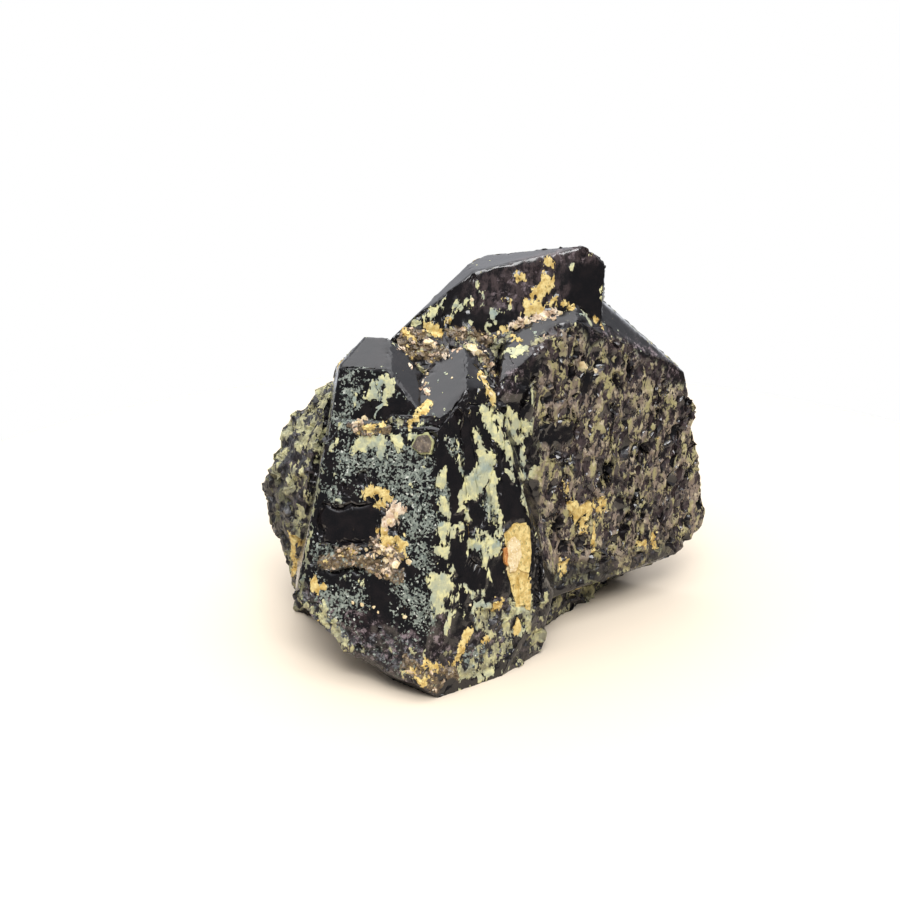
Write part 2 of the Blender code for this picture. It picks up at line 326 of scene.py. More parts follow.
def split_once(points, triangles, share):
    """Halve the edges that need it, and cut the triangles to fit."""
    halved, middles, sides = edges_to_halve(points, triangles)
    number = np.full(len(halved), -1)
    number[halved] = len(points) + np.arange(halved.sum())
    points = np.concatenate([points, middles[halved]])
    middle = number[sides].T
    cuts = (middle >= 0).sum(axis=1)
    made, made_share = [], []

    def keep(mask, *corners):
        made.append(np.stack([corner[mask] for corner in corners], axis=1))
        made_share.append(share[mask])

    keep(cuts == 0, *triangles.T)
    for corner in range(3):
        after, before = (corner + 1) % 3, (corner + 2) % 3
        first, second, third = triangles[:, corner], triangles[:, after], triangles[:, before]
        near, far, last = middle[:, corner], middle[:, after], middle[:, before]
        keep(cuts == 3, first, near, last)
        single = (cuts == 1) & (near >= 0)
        keep(single, first, near, third)
        keep(single, near, second, third)
        double = (cuts == 2) & (last < 0)
        keep(double, near, second, far)
        one = np.linalg.norm(points[first] - points[far], axis=1)
        other = np.linalg.norm(points[third] - points[near], axis=1)
        keep(double & (one <= other), first, near, far)
        keep(double & (one <= other), first, far, third)
        keep(double & (one > other), first, near, third)
        keep(double & (one > other), near, far, third)
    keep(cuts == 3, *middle.T)
    return points, np.concatenate(made), np.concatenate(made_share), bool(halved.any())


def split_up(points, triangles, share):
    for _ in range(SPLIT_ROUNDS):
        points, triangles, share, changed = split_once(points, triangles, share)
        if not changed:
            break
    return points, triangles, share


def surface_net():
    """The solid's corners and triangles, cut small, and how broken each triangle's face is."""
    points, triangles = merged_solid()
    return split_up(points, triangles, broken_share(points, triangles))


def on_points(triangles, values, count):
    """Average of the triangles' values at each corner."""
    total = np.zeros(count)
    uses = np.zeros(count)
    for corner in range(3):
        np.add.at(total, triangles[:, corner], values)
        np.add.at(uses, triangles[:, corner], 1)
    return total / np.maximum(uses, 1)


def spread(triangles, values, rounds):
    """Blur values over the net."""
    count = len(values)
    for _ in range(rounds):
        values = on_points(triangles, values[triangles].mean(axis=1), count)
    return values


def crystal_ridges(points, triangles, share):
    """1 at corners where two wide faces meet at an edge, fading to 0 a few millimetres away."""
    directions = one_long(normals_of(points, triangles))
    wide = share < 0.5
    # A direction's parts lie between -1 and 1, so these limits mark corners that no wide face touches
    low, high = np.full_like(points, 9.0), np.full_like(points, -9.0)
    for corner in range(3):
        np.minimum.at(low, triangles[wide, corner], directions[wide])
        np.maximum.at(high, triangles[wide, corner], directions[wide])
    ridge = (np.abs(high - low).max(axis=1) > RIDGE_TURN) & (high[:, 0] > -2)
    return np.clip(spread(triangles, ridge.astype(float), RIDGE_SPREAD) * 4, 0, 1)


def softened_steps(points, normals, triangles, share):
    """Make the solid's straight-sided steps and hollows on its wide faces shallower and irregular."""
    small = on_points(triangles, share, len(points))
    free = 1 - crystal_ridges(points, triangles, share)
    moved = points.copy()
    for face, (left, right), (bottom, top) in STEPPED_FACES:
        across, upward, out = along_face(points, face).T
        near = smooth_step(1.9, 1.3, np.abs(out))
        inside = smooth_step(left, left + 1, across) * smooth_step(right, right - 1, across)
        inside = inside * smooth_step(bottom, bottom + 1, upward) * smooth_step(top, top - 1, upward)
        outward = face_axes(face)[2]
        turned = np.maximum(smooth_step(0.95, 0.99, normals @ outward), small)
        weight = near * inside * turned * free * STEP_EASING
        moved -= outward * (out * weight)[:, None]
    warp = np.stack([noise(points, WARP_SIZE, 81 + axis) for axis in range(3)], axis=1)
    warp -= normals * dots(warp, normals)[:, None]
    return moved + warp * (WARP_REACH * free)[:, None]


def stepped(points):
    """1 where a broken-looking spot is only a step on one of the wide faces."""
    found = np.zeros(len(points))
    for face, (left, right), (bottom, top) in STEPPED_FACES:
        across, upward, out = along_face(points, face).T
        inside = (across > left) & (across < right) & (upward > bottom) & (upward < top)
        found = np.maximum(found, inside * (np.abs(out) < STEP_DEPTH))
    return found


# Strokes laid on the solid
def seen_spot(tree, pixel):
    """The place on the surface that a pixel of the photograph shows, and the surface's direction there."""
    pitch, half = math.radians(PITCH), PHOTO_SIZE / 2
    right = np.array([1.0, 0, 0])
    ahead = np.array([0, math.cos(pitch), -math.sin(pitch)])
    upward = np.array([0, math.sin(pitch), math.cos(pitch)])
    ray = ahead + right * (pixel[0] - half) / FOCAL_PIXELS - upward * (pixel[1] - half) / FOCAL_PIXELS
    place, normal = tree.ray_cast(Vector(EYE), Vector(ray).normalized())[:2]
    return None if place is None else (np.array(place), np.array(normal))


def seen_path(tree, pixels):
    spots = [seen_spot(tree, pixel) for pixel in pixels]
    return [spot[0] for spot in spots if spot]


def gap_to_path(points, path):
    """Distance from each point to a path through the given places."""
    if len(path) == 1:
        return np.linalg.norm(points - path[0], axis=1)
    gaps = []
    for start, end in zip(path, path[1:]):
        run = end - start
        share = np.clip(((points - start) @ run) / max(float(run @ run), TINY), 0, 1)
        gaps.append(np.linalg.norm(points - start - share[:, None] * run, axis=1))
    return np.minimum.reduce(gaps)


def stroked(points, tree, strokes):
    """How far inside the strokes each point lies, in millimetres; below 0 outside."""
    level = np.full(len(points), -FAR)
    for radius, pixels in strokes:
        path = seen_path(tree, pixels)
        if path:
            level = np.maximum(level, radius - gap_to_path(points, path))
    return level


FAR = 4.0

# Pale green crust: radius in millimetres and the places of a stroke in pixels of the photograph
PALE_CRUST = [
    # left head
    (0.9, [(373, 384), (381, 382), (389, 380)]), (0.9, [(389, 380), (390, 388), (387, 392)]),
    (1.0, [(368, 397), (375, 394)]), (0.7, [(383, 398), (385, 404), (378, 409), (375, 414)]),
    (0.4, [(355, 395), (354, 405)]), (0.5, [(397, 418), (399, 425)]), (0.4, [(328, 452), (335, 441)]),
    # top of the front face
    (1.2, [(356, 447), (368, 441), (380, 440), (383, 453)]), (1.0, [(394, 436), (400, 446)]),
    (0.9, [(413, 437), (418, 441)]), (0.7, [(418, 447), (422, 451)]),
    # right face, big patch and its arms
    (1.6, [(463, 496), (470, 482), (479, 470)]), (1.2, [(488, 470), (497, 480)]),
    (1.0, [(490, 452), (496, 462)]), (0.9, [(476, 432), (482, 448), (484, 460)]),
    (0.8, [(505, 470), (512, 480)]), (0.8, [(462, 500), (458, 512)]),
    (2.1, [(475, 492), (481, 478), (487, 462)]), (1.4, [(490, 488), (497, 503)]),
    (1.2, [(484, 408), (490, 428), (500, 440), (508, 452)]), (1.1, [(500, 418), (515, 426), (527, 431)]),
    (1.0, [(445, 470), (441, 485)]), (1.1, [(442, 500), (447, 515)]), (1.1, [(444, 525), (443, 540)]),
    (0.5, [(456, 463), (462, 475)]), (0.3, [(441, 437), (449, 443), (453, 451)]),
    (0.8, [(465, 508), (469, 520)]), (0.8, [(453, 534), (460, 525)]), (1.1, [(437, 550), (447, 552)]),
    (2.1, [(435, 583), (445, 584)]), (1.7, [(437, 600), (443, 592)]), (0.8, [(437, 611), (447, 610)]),
    (0.8, [(452, 565), (454, 575)]), (1.0, [(473, 545), (482, 546)]), (0.9, [(483, 552), (484, 566)]),
    (1.1, [(490, 540), (497, 545), (492, 553)]), (0.9, [(497, 500), (500, 515), (499, 530), (503, 540)]),
    (0.8, [(489, 573), (492, 583)]), (0.5, [(463, 585), (475, 594)]), (0.7, [(479, 624), (490, 634)]),
    (0.7, [(524, 452), (525, 462)]), (0.9, [(519, 475), (530, 477), (541, 477)]),
    (0.8, [(522, 485), (524, 501)]), (0.7, [(537, 469), (540, 485)]), (0.9, [(513, 430), (520, 442)]),
    (0.5, [(470, 614), (476, 606), (484, 604)]), (0.5, [(500, 612), (506, 622), (512, 632)]),
    (0.6, [(478, 648), (486, 658), (494, 664)]), (0.5, [(499, 650), (509, 644)]),
    # foot of the front crystal
    (1.0, [(408, 671), (424, 676), (438, 686)]), (0.9, [(455, 676), (475, 672), (492, 670)]),
    (0.5, [(300, 596), (318, 616), (335, 634), (352, 647)]), (0.5, [(322, 606), (332, 622), (340, 640)]),
    # large crystal
    (1.2, [(508, 412), (520, 424), (533, 428)]), (0.6, [(522, 388), (526, 400)]),
    (0.7, [(516, 377), (514, 384)]), (1.1, [(579, 363), (585, 372)]), (0.9, [(594, 368), (601, 377)]),
    (0.5, [(561, 341), (564, 362)]), (0.6, [(577, 380), (571, 392), (568, 402)]),
    (0.7, [(600, 394), (597, 412), (602, 432)]), (0.5, [(540, 408), (552, 404), (566, 406)]),
    (0.5, [(541, 420), (556, 425), (563, 418)]), (0.6, [(612, 388), (620, 398), (634, 394)]),
    (0.5, [(585, 430), (592, 446), (596, 462)]), (0.9, [(597, 491), (605, 505)]),
    (0.6, [(548, 486), (556, 474), (566, 470)]), (0.8, [(548, 545), (556, 560), (562, 574)]),
    (0.6, [(572, 540), (580, 556), (590, 566)]), (0.7, [(652, 540), (660, 552)]),
    (0.8, [(672, 520), (684, 528)]), (0.7, [(690, 480), (695, 500)]),
    (0.6, [(512, 355), (521, 350), (527, 348)]), (0.7, [(537, 341), (547, 337), (553, 336)]),
    (0.4, [(502, 356), (506, 352)]), (0.4, [(560, 303), (572, 307), (583, 312)]),
    # blade
    (0.7, [(472, 302)]), (0.5, [(478, 285)]), (0.5, [(482, 294)]), (0.9, [(455, 307), (456, 302)]),
    (0.5, [(452, 318)]), (1.1, [(433, 313), (427, 318)]), (0.9, [(417, 322)]), (0.5, [(508, 302)]),
    (0.5, [(512, 312)]), (0.5, [(470, 323)]), (0.4, [(571, 266)]), (0.5, [(460, 306), (454, 313)]),
    (0.6, [(471, 301), (473, 306)]), (0.4, [(482, 306)]), (0.5, [(499, 311), (489, 315)]),
    (0.4, [(480, 291)]), (0.5, [(440, 305), (446, 298)]), (0.5, [(493, 322), (486, 328)]),
    (0.5, [(507, 339), (520, 340)]), (0.5, [(536, 342), (547, 339)]), (0.5, [(510, 352), (519, 348)]),
    (0.5, [(575, 309), (586, 315)]),
    # broken foot, lower right
    (0.9, [(488, 606), (480, 622)]), (0.9, [(500, 640), (494, 655), (484, 668)]),
    (0.8, [(505, 618), (508, 632)]), (0.8, [(470, 668), (480, 678)]), (0.7, [(512, 600), (520, 612)]),
    (0.6, [(525, 618), (520, 634)]),
    # narrow left side of the front crystal
    (0.45, [(334, 392), (327, 430), (320, 470)]), (0.45, [(318, 480), (312, 520), (306, 560), (300, 590)]),
]

# Golden yellow crust
GOLD_CRUST = [
    (0.8, [(364, 428), (374, 426), (384, 424)]), (0.8, [(410, 423), (420, 416), (428, 404)]),
    (1.0, [(367, 493), (378, 489), (386, 497)]), (0.8, [(378, 505), (384, 503)]),
    (1.4, [(380, 530), (385, 541)]), (1.1, [(398, 540), (402, 546)]), (0.9, [(314, 580), (315, 588)]),
    (0.6, [(323, 587)]), (0.9, [(470, 629), (463, 645), (456, 663)]), (0.9, [(495, 607), (499, 603)]),
    (0.6, [(518, 620), (516, 632)]), (0.7, [(485, 640)]), (0.8, [(424, 664), (440, 668)]),
    (0.6, [(331, 566), (326, 562)]), (0.7, [(346, 549), (352, 552)]),
    (1.5, [(571, 505), (577, 515), (590, 508)]), (1.0, [(585, 520), (583, 530)]),
    (0.5, [(593, 525), (592, 550)]), (0.5, [(564, 480), (567, 491)]), (1.0, [(563, 570), (566, 562)]),
    (0.5, [(653, 535), (655, 545)]), (1.3, [(549, 262)]), (1.1, [(520, 276)]), (1.5, [(546, 280)]),
    (1.3, [(538, 292)]), (1.2, [(537, 303)]), (1.0, [(527, 313)]), (1.4, [(432, 328), (437, 334)]),
    (0.6, [(449, 320)]), (0.8, [(407, 334), (414, 340)]), (0.8, [(481, 374), (486, 384), (492, 394)]),
    (0.7, [(488, 392), (493, 402)]), (0.5, [(594, 318), (602, 327)]), (0.5, [(512, 337), (521, 341)]),
    (0.6, [(497, 333), (506, 328)]), (1.3, [(545, 284), (540, 296)]), (1.2, [(530, 306), (538, 312)]),
    (0.7, [(551, 304), (556, 300)]), (0.5, [(507, 301)]), (0.9, [(427, 326), (437, 331)]),
    (0.5, [(561, 304), (572, 308)]), (0.8, [(410, 672), (424, 682)]), (0.7, [(400, 548), (404, 556)]),
    (1.6, [(293, 540), (296, 570)]), (0.8, [(602, 500), (598, 514)]), (0.8, [(640, 545), (652, 538)]),
]

# Pinkish feldspar
PINK_CRUST = [
    (0.8, [(357, 424), (364, 420)]), (1.5, [(387, 521), (392, 514), (399, 509)]),
    (1.2, [(389, 552), (394, 563)]), (0.8, [(372, 556), (378, 549)]), (0.6, [(383, 570), (391, 574)]),
    (0.9, [(513, 327), (525, 322)]), (0.8, [(535, 319), (545, 316), (554, 313)]),
    (0.6, [(468, 345), (477, 353)]), (0.5, [(483, 349)]), (0.35, [(393, 340), (400, 350)]),
    (0.35, [(446, 357), (458, 347)]), (0.8, [(427, 341), (433, 344)]), (0.4, [(546, 335)]),
    (0.4, [(426, 372), (427, 394)]), (0.4, [(411, 366)]), (0.5, [(460, 334), (463, 330)]),
]

# Blue-grey speckle of fine mineral grains
GREY_SPECKLE = [
    (2.2, [(351, 380), (350, 392), (354, 402)]), (1.0, [(379, 393), (383, 398)]),
    (1.8, [(338, 418), (352, 424)]), (3.6, [(350, 458), (385, 458), (418, 466)]),
    (3.6, [(392, 478), (420, 484)]), (3.2, [(404, 500), (422, 520)]), (1.6, [(332, 492), (334, 504)]),
    (1.2, [(346, 476), (343, 484)]), (2.2, [(410, 540), (424, 560)]),
    (2.0, [(322, 592), (335, 603), (346, 600), (358, 598)]), (1.2, [(328, 613), (338, 628)]),
    (2.2, [(402, 590), (420, 600), (424, 622)]), (1.4, [(372, 598), (386, 606)]),
    (1.6, [(488, 500), (490, 512)]), (1.4, [(316, 552), (332, 550)]), (1.6, [(442, 492), (445, 508)]),
    (1.4, [(441, 592), (437, 604)]), (1.2, [(479, 540), (492, 548)]), (1.6, [(470, 660), (480, 652)]),
    (1.2, [(448, 444), (462, 452)]),
]

# Lumpy brown mixture of crumbs
BROWN_CRUMB = [
    (1.7, [(325, 563), (345, 560), (365, 563), (385, 570), (396, 577)]), (1.2, [(338, 553), (356, 550)]),
    (1.4, [(376, 545), (396, 552)]), (2.4, [(412, 352), (428, 350), (440, 356)]),
    (1.6, [(404, 340), (420, 334)]), (1.4, [(452, 333), (470, 336), (484, 340)]),
    (1.2, [(486, 360), (490, 372)]), (0.8, [(354, 428), (388, 430)]),
    (1.5, [(408, 662), (420, 674), (436, 686)]), (1.0, [(436, 668), (455, 676)]),
]

# Smooth black quartz that carries no crust
BARE_QUARTZ = [
    (2.6, [(326, 515), (350, 516), (372, 512)]), (2.4, [(326, 532), (350, 532), (370, 530)]),
    (1.8, [(452, 472), (458, 490), (457, 514)]), (2.0, [(500, 466), (505, 488), (507, 510)]),
    (1.0, [(486, 436), (490, 448)]), (2.1, [(533, 488), (536, 514)]), (1.5, [(474, 508), (482, 522)]),
    (1.5, [(440, 442), (444, 460)]), (2.2, [(376, 588), (382, 612), (372, 628)]),
    (2.4, [(540, 434), (566, 434)]), (2.4, [(512, 372), (520, 398)]), (1.6, [(457, 556), (460, 574)]),
    (1.6, [(472, 562), (474, 580)]), (1.6, [(466, 432), (470, 452)]), (2.6, [(576, 300), (590, 275)]),
    (2.4, [(446, 294), (452, 286)]), (1.4, [(494, 576), (500, 590)]), (1.6, [(366, 410), (400, 408)]),
    (1.6, [(584, 388), (590, 378)]), (1.3, [(536, 372), (540, 358)]), (1.2, [(357, 478), (364, 474)]),
    (1.2, [(341, 486), (348, 494)]), (1.2, [(519, 512), (523, 520)]),
]

# Smoky, half clear broken quartz, purplish brown where it is thin
SMOKY_QUARTZ = [
    (4.0, [(366, 632), (392, 648), (416, 652)]), (3.2, [(438, 628), (440, 656)]),
    (3.0, [(470, 640), (500, 644)]), (2.4, [(404, 676), (430, 684)]),
    (3.0, [(310, 600), (350, 640), (390, 664)]), (2.6, [(500, 606), (505, 626)]),
    (2.6, [(600, 336), (640, 350), (676, 372)]), (2.0, [(540, 262), (520, 300), (500, 300)]),
    (2.4, [(500, 288), (516, 282), (530, 268)]), (2.0, [(560, 254), (586, 254)]),
    (2.6, [(508, 388), (516, 372)]), (3.0, [(350, 622), (380, 640), (410, 660)]),
]

# Where a thin purple-brown film lies on the blade and on the large crystal's tip
BROWN_FILM = [
    (3.5, [(480, 295), (510, 280), (550, 262)]), (2.5, [(520, 305), (560, 292)]),
    (2.0, [(575, 254), (590, 256)]), (2.0, [(505, 385), (515, 375)]),
]

# Painted shade: where crust is painted dark and dull to stand for shade, as under the large crystal
PAINTED_SHADE_STROKES = [
    (4.5, [(560, 584), (600, 578), (640, 568)]), (2.5, [(655, 558), (668, 550)]),
    (9.0, [(262, 470), (285, 430), (302, 395)]), (7.0, [(272, 500), (285, 530)]),
    (1.2, [(334, 392), (320, 470), (306, 560), (300, 590)]), (3.0, [(600, 580), (640, 568), (560, 590)]),
]

# Broken, uneven surface
BROKEN_ROCK = [
    (3.0, [(300, 598), (330, 632), (370, 660), (410, 680)]), (3.0, [(380, 640), (420, 664)]),
    (3.4, [(450, 660), (480, 660), (505, 640)]), (3.0, [(485, 620), (505, 610)]),
    (2.6, [(530, 640), (540, 620)]), (3.0, [(560, 575), (610, 570), (650, 552)]),
    (2.4, [(412, 352), (436, 354)]), (2.0, [(452, 333), (484, 338)]),
    (3.0, [(530, 612), (538, 640), (520, 664)]), (2.4, [(545, 600), (548, 630), (546, 652)]),
]

# Where the large crystal's streaks of crust are dense: radius and places
STREAKED = [
    (7.0, [(560, 360), (560, 420)]), (8.0, [(610, 380), (600, 450)]), (8.0, [(640, 400), (650, 470)]),
    (7.0, [(560, 480), (590, 500)]), (7.0, [(670, 420), (680, 520)]), (6.0, [(550, 540), (640, 540)]),
]

# Mica and feldspar flakes big enough to see: pixel of the photograph, radius in millimetres, tilt in degrees
CREAM_FLAKES = [
    ((409, 562), 0.7, 15), ((391, 555), 1.2, 20), ((396, 564), 0.9, 35), ((386, 561), 0.8, 30),
    ((380, 552), 0.6, 40), ((509, 568), 0.7, 25), ((428, 342), 1.0, 25), ((434, 346), 0.7, 40),
    ((472, 348), 1.1, 25), ((479, 353), 0.8, 30), ((484, 377), 0.8, 30), ((487, 386), 0.7, 35),
    ((491, 394), 0.6, 25), ((358, 422), 0.8, 20), ((364, 418), 0.6, 30), ((362, 605), 0.45, 20),
    ((374, 607), 0.35, 10), ((378, 612), 0.3, 20), ((405, 617), 0.45, 10), ((353, 603), 0.35, 30),
    ((583, 366), 1.0, 15), ((595, 371), 0.6, 30), ((560, 314), 0.7, 20), ((545, 317), 0.6, 30),
    ((527, 322), 0.7, 30), ((515, 327), 0.7, 25), ((498, 333), 0.6, 20), ((427, 374), 0.35, 20),
    ((426, 383), 0.3, 30), ((427, 392), 0.35, 30), ((452, 378), 0.3, 20), ((384, 548), 0.7, 45),
    ((396, 515), 0.7, 30), ((389, 521), 0.8, 20), ((470, 605), 0.3, 10), ((374, 556), 0.7, 35),
    ((366, 550), 0.5, 30), ((340, 556), 0.5, 30), ((448, 322), 0.5, 30), ((472, 300), 0.5, 20),
]


# Relief and fields of the main piece
STREAK_LEAN = (3, 20)
LENS_WIDTH, LENS_LENGTH = 2.5, 5.0
DUST_SHARE = 0.2
HOLLOW_SHARE = 0.36

# Noises, in layers: size in millimetres, seed, number of layers, and how much of each the next one keeps
RAG = (2.2, 11, 3, 0.6)
SCATTER = (3.4, 41, 4, 0.65)
STAIN = (6.5, 53, 3, 0.6)
# Single noises: size in millimetres and seed
FINE_RAG = (0.9, 17)
DRIFT = (9.0, 95)
# Noises drawn out along a crystal: width, length and seed
LARGE_STREAKS = (1.9, 4.6, 31)
PAIR_STREAKS = (1.9, 6.5, 37)

# Fields drawn with strokes: how ragged and finely ragged they are, and the depths between which they rise
DRAWN_FIELDS = {
    "bare": (BARE_QUARTZ, 0.5, 0, -0.5, 0.5),
    "smoky": (SMOKY_QUARTZ, 0.8, 0, -1.0, 1.2),
    "brown": (BROWN_CRUMB, 0.6, 0.3, -0.5, 0.5),
    "grey": (GREY_SPECKLE, 0.9, 0, -1.2, 0.8),
    "dim": (PAINTED_SHADE_STROKES, 1, 0, -1.5, 1.5),
    "broken": (BROKEN_ROCK, 0, 0, -0.6, 1.0),
    "large": (STREAKED, 0, 0, -2.0, 0.0),
    "film": (BROWN_FILM, 0, 0, -1.5, 1.5),
}
# Fields that the main piece's material reads
SHADER_FIELDS = ["crust", "gold", "pink", "grey", "brown", "smoky", "broken", "olive", "bare", "large"]
SHADER_FIELDS += ["borders", "dim", "film"]


def streak_frame(points, lean):
    """Coordinates across a crystal, to the right and to the front, and along its long axis."""
    long_axis, front, right = axes_of(lean)
    return points @ np.array([right[:], front[:], long_axis[:]], float).T


def lens_hollows(points, lean, seed):
    """Distance from the borders between long lens-shaped hollows, and a number from 0 to 1 for each."""
    spot = streak_frame(points, lean) * np.array([1, 1, LENS_WIDTH / LENS_LENGTH])
    spot = spot + 0.9 * np.stack([noise(points, 2.8, seed + axis) for axis in (3, 4, 5)], axis=1)
    first, second, _, numbers = cells(spot, LENS_WIDTH, seed)
    return (second - first) * 1.6, numbers[:, 0]


def streaks(points, lean, width, length, seed):
    """Noise drawn out along a crystal's axis."""
    spot = streak_frame(points, lean) * np.array([1, 1, width / length])
    return layered(spot, width, seed, 3, 0.55)


def near_face(points, normals, face, behind, turned):
    """1 where the surface lies at a crystal's face and looks its way, fading to 0 elsewhere."""
    at_plane = smooth_step(*behind, along_face(points, face)[:, 2])
    return at_plane * smooth_step(*turned, normals @ face_axes(face)[2])


def crust_depth(points, drawn, field, facing):
    """How far inside pale crust each point lies: drawn crust, and made-up crust where none is drawn."""
    scatter = layered(points, *SCATTER)
    pair_streaks = streaks(points, PAIR_LEAN, *PAIR_STREAKS)
    drifts = 0.45 * scatter + 0.5 * noise(points, *DRIFT)
    on_broken = (scatter - 0.15 - 0.9 * (1 - field["broken"]) - 0.7 * field["smoky"]) * 1.6
    large_streaks = streaks(points, STREAK_LEAN, *LARGE_STREAKS)
    on_streaked = (large_streaks + drifts - 0.78) * 2.2 - (1 - field["large"]) * 4
    on_right_face = (pair_streaks - 0.62) * 1.8 - (1 - field["right"]) * 4
    hidden = (pair_streaks * 0.5 + scatter * 0.8 - 0.55) * 1.6 - facing * 6
    crust = np.maximum.reduce([drawn, on_streaked, on_right_face, on_broken, hidden])
    # Painted shade and the lens hollows take crust away, painted shade most of all on the large crystal
    shade_and_hollows = 0.2 * field["dim"] + 1.4 * field["hollow"] + field["dim"] * field["large"]
    return crust - 2.5 * field["bare"] * (drawn < 0.3) - field["brown"] - shade_and_hollows * (drawn < 0)


def fields_of(points, normals, broken, tree):
    """The named fields that the relief and the materials read, for each corner of the net."""
    facing = seen_by_eye(points, normals, 0.0, 0.25)
    rag, fine_rag = layered(points, *RAG), noise(points, *FINE_RAG)

    def depth(strokes, ragged_share, fine_share):
        return stroked(points, tree, strokes) + ragged_share * rag + fine_share * fine_rag

    field = {}
    for name, (*drawn, low, high) in DRAWN_FIELDS.items():
        field[name] = smooth_step(low, high, depth(*drawn))
    field["broken"] = np.clip(broken + field["broken"], 0, 1)
    field["large"] = smooth_step(-3.5, -1.5, along_face(points, LARGE_FACE)[:, 2]) * field["large"]
    field["right"] = near_face(points, normals, RIGHT_FACE, (-2.0, -0.8), (0.3, 0.8))
    on_front = near_face(points, normals, FRONT_FACE, (-1.6, -0.8), (0.5, 0.9))
    field["grey"] = np.maximum(field["grey"], DUST_SHARE * on_front) * (1 - field["bare"])
    borders, number = lens_hollows(points, STREAK_LEAN, 90)
    field["borders"] = np.clip(borders, 0, 2)
    field["hollow"] = field["large"] * (number < HOLLOW_SHARE) * smooth_step(0.1, 0.4, borders)

    crust = crust_depth(points, depth(PALE_CRUST, 0.55, 0.25), field, facing)
    stained = (layered(points, *STAIN) - 0.75) * 2.5 - 1.5 * field["bare"] - 4 * facing
    gold = np.maximum(depth(GOLD_CRUST, 0.5, 0.2), stained)
    for name, level in (("crust", crust), ("gold", gold), ("pink", depth(PINK_CRUST, 0.35, 0.2))):
        field[name] = np.clip(level, -FAR, FAR)
    field["olive"] = np.clip(field["broken"] * 0.8 + (1 - facing) * 0.5, 0, 1)
    film = np.maximum(field["large"], field["film"]) * (1 - field["hollow"])
    # Painted shade takes away the film and the pale smoky veil, leaving dark quartz
    field["film"] = film * (1 - field["bare"]) * (1 - field["dim"])
    field["smoky"] = np.clip(field["smoky"] + 0.35 * field["broken"], 0, 1) * (1 - 0.8 * field["dim"])
    # Painted shade also darkens the crust on sides turned from the camera
    field["dim"] = np.clip(field["dim"] + (1 - facing) * 0.6, 0, 1)
    return field


# Heights in millimetres of what stands on the quartz, and of its own unevenness
CRUST_HEIGHT = 0.22
GOLD_HEIGHT = 0.34
PINK_HEIGHT = 0.5
ROCK_HEIGHT = 0.85
LUMP_HEIGHT = 1.1
RIGHT_STREAK_HEIGHT = 0.16
WAVE_HEIGHT = 0.05
WEAR_LEAST, WEAR_MORE = 0.10, 0.16


def relief(points, field, sharp):
    """Height of the finished surface above the solid, in millimetres."""
    broken = field["broken"]
    crust = smooth_step(-0.15, 0.35, field["crust"]) * (0.75 + 0.35 * noise(points, 1.3, 61))
    gold = smooth_step(-0.15, 0.5, field["gold"]) * (0.8 + 0.4 * noise(points, 1.6, 62))
    pink = smooth_step(-0.2, 0.5, field["pink"]) * (0.8 + 0.4 * chips(points, 1.8, 63))
    rock = 0.9 * chips(points, 4.2, 64) + 0.45 * chips(points, 1.7, 65) + 0.3 * layered(points, 3.0, 66, 3)
    lumps = 0.9 - 1.2 * cells(points, 2.3, 67)[0] + 0.3 * noise(points, 0.9, 68)
    grey = field["grey"] * (0.14 * noise(points, 0.9, 69) + 0.16 * noise(points, 2.0, 70))
    lenses = 0.75 * smooth_step(0.9, 0.0, field["borders"]) - 0.5 - 0.45 * field["hollow"]
    large_streaks = (0.4 * streaks(points, STREAK_LEAN, 2.8, 6.5, 71) + lenses) * field["large"]
    right_streaks = field["right"] * RIGHT_STREAK_HEIGHT * streaks(points, PAIR_LEAN, 2.6, 8.0, 72)
    height = WAVE_HEIGHT * noise(points, 9.0, 73) + grey
    height = height + broken * rock * ROCK_HEIGHT + field["brown"] * lumps * LUMP_HEIGHT
    height = height + (large_streaks + right_streaks) * (1 - broken * 0.6) * (1 - 0.7 * field["bare"])
    height = height + np.maximum.reduce([crust * CRUST_HEIGHT, gold * GOLD_HEIGHT, pink * PINK_HEIGHT])
    return height - sharp * (WEAR_LEAST + WEAR_MORE * np.clip(layered(points, 2.4, 74, 3) + 0.5, 0, 1.5))


def sharp_points(points, triangles, normals):
    """Up to 1 at corners on a crystal's edge, where the faces turn away from the average direction."""
    directions = one_long(normals_of(points, triangles))
    lowest = np.ones(len(points))
    for corner in range(3):
        np.minimum.at(lowest, triangles[:, corner], dots(directions, normals[triangles[:, corner]]))
    return smooth_step(math.cos(math.radians(4)), math.cos(math.radians(14)), lowest)


# Meshes and objects
def link(name, data):
    made = bpy.data.objects.new(name, data)
    bpy.context.scene.collection.objects.link(made)
    return made


def packed(points):
    """From millimetres in the crystals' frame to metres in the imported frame."""
    return (np.asarray(points) + SHIFT) * MM


def mesh_of(name, points, faces):
    mesh = bpy.data.meshes.new(name)
    mesh.from_pydata(packed(points).tolist(), [], faces)
    mesh.validate()
    mesh.update()
    mesh.shade_smooth()
    mesh.set_sharp_from_angle(angle=SHARP_ANGLE)
    return mesh


def store(mesh, name, values):
    mesh.attributes.new(name, "FLOAT", "POINT").data.foreach_set("value", np.asarray(values, np.float32))


# Height under which the solid rests on the floor, and the least height of the relief elsewhere
CONTACT, CLEARANCE = 0.02, 0.05


def main_piece():
    """The cluster with its relief, its fields, and the finished surface for rays to meet."""
    points, triangles, share = surface_net()
    tree = BVHTree.FromPolygons(points.tolist(), triangles.tolist())
    normals = point_normals(points, triangles)
    broken = spread(triangles, on_points(triangles, share, len(points)), 2) * (1 - 0.8 * stepped(points))
    points = softened_steps(points, normals, triangles, share)
    normals = point_normals(points, triangles)
    field = fields_of(points, normals, broken, tree)
    sharp = sharp_points(points, triangles, normals)
    raised = points + normals * relief(points, field, sharp)[:, None]
    raised[:, 2] = np.where(points[:, 2] < CONTACT, 0.0, np.maximum(raised[:, 2], CLEARANCE))
    mesh = mesh_of("morion_cluster", raised, triangles.tolist())
    for name in SHADER_FIELDS:
        store(mesh, name, field[name])
    return link("morion_cluster", mesh), field, BVHTree.FromPolygons(raised.tolist(), triangles.tolist())


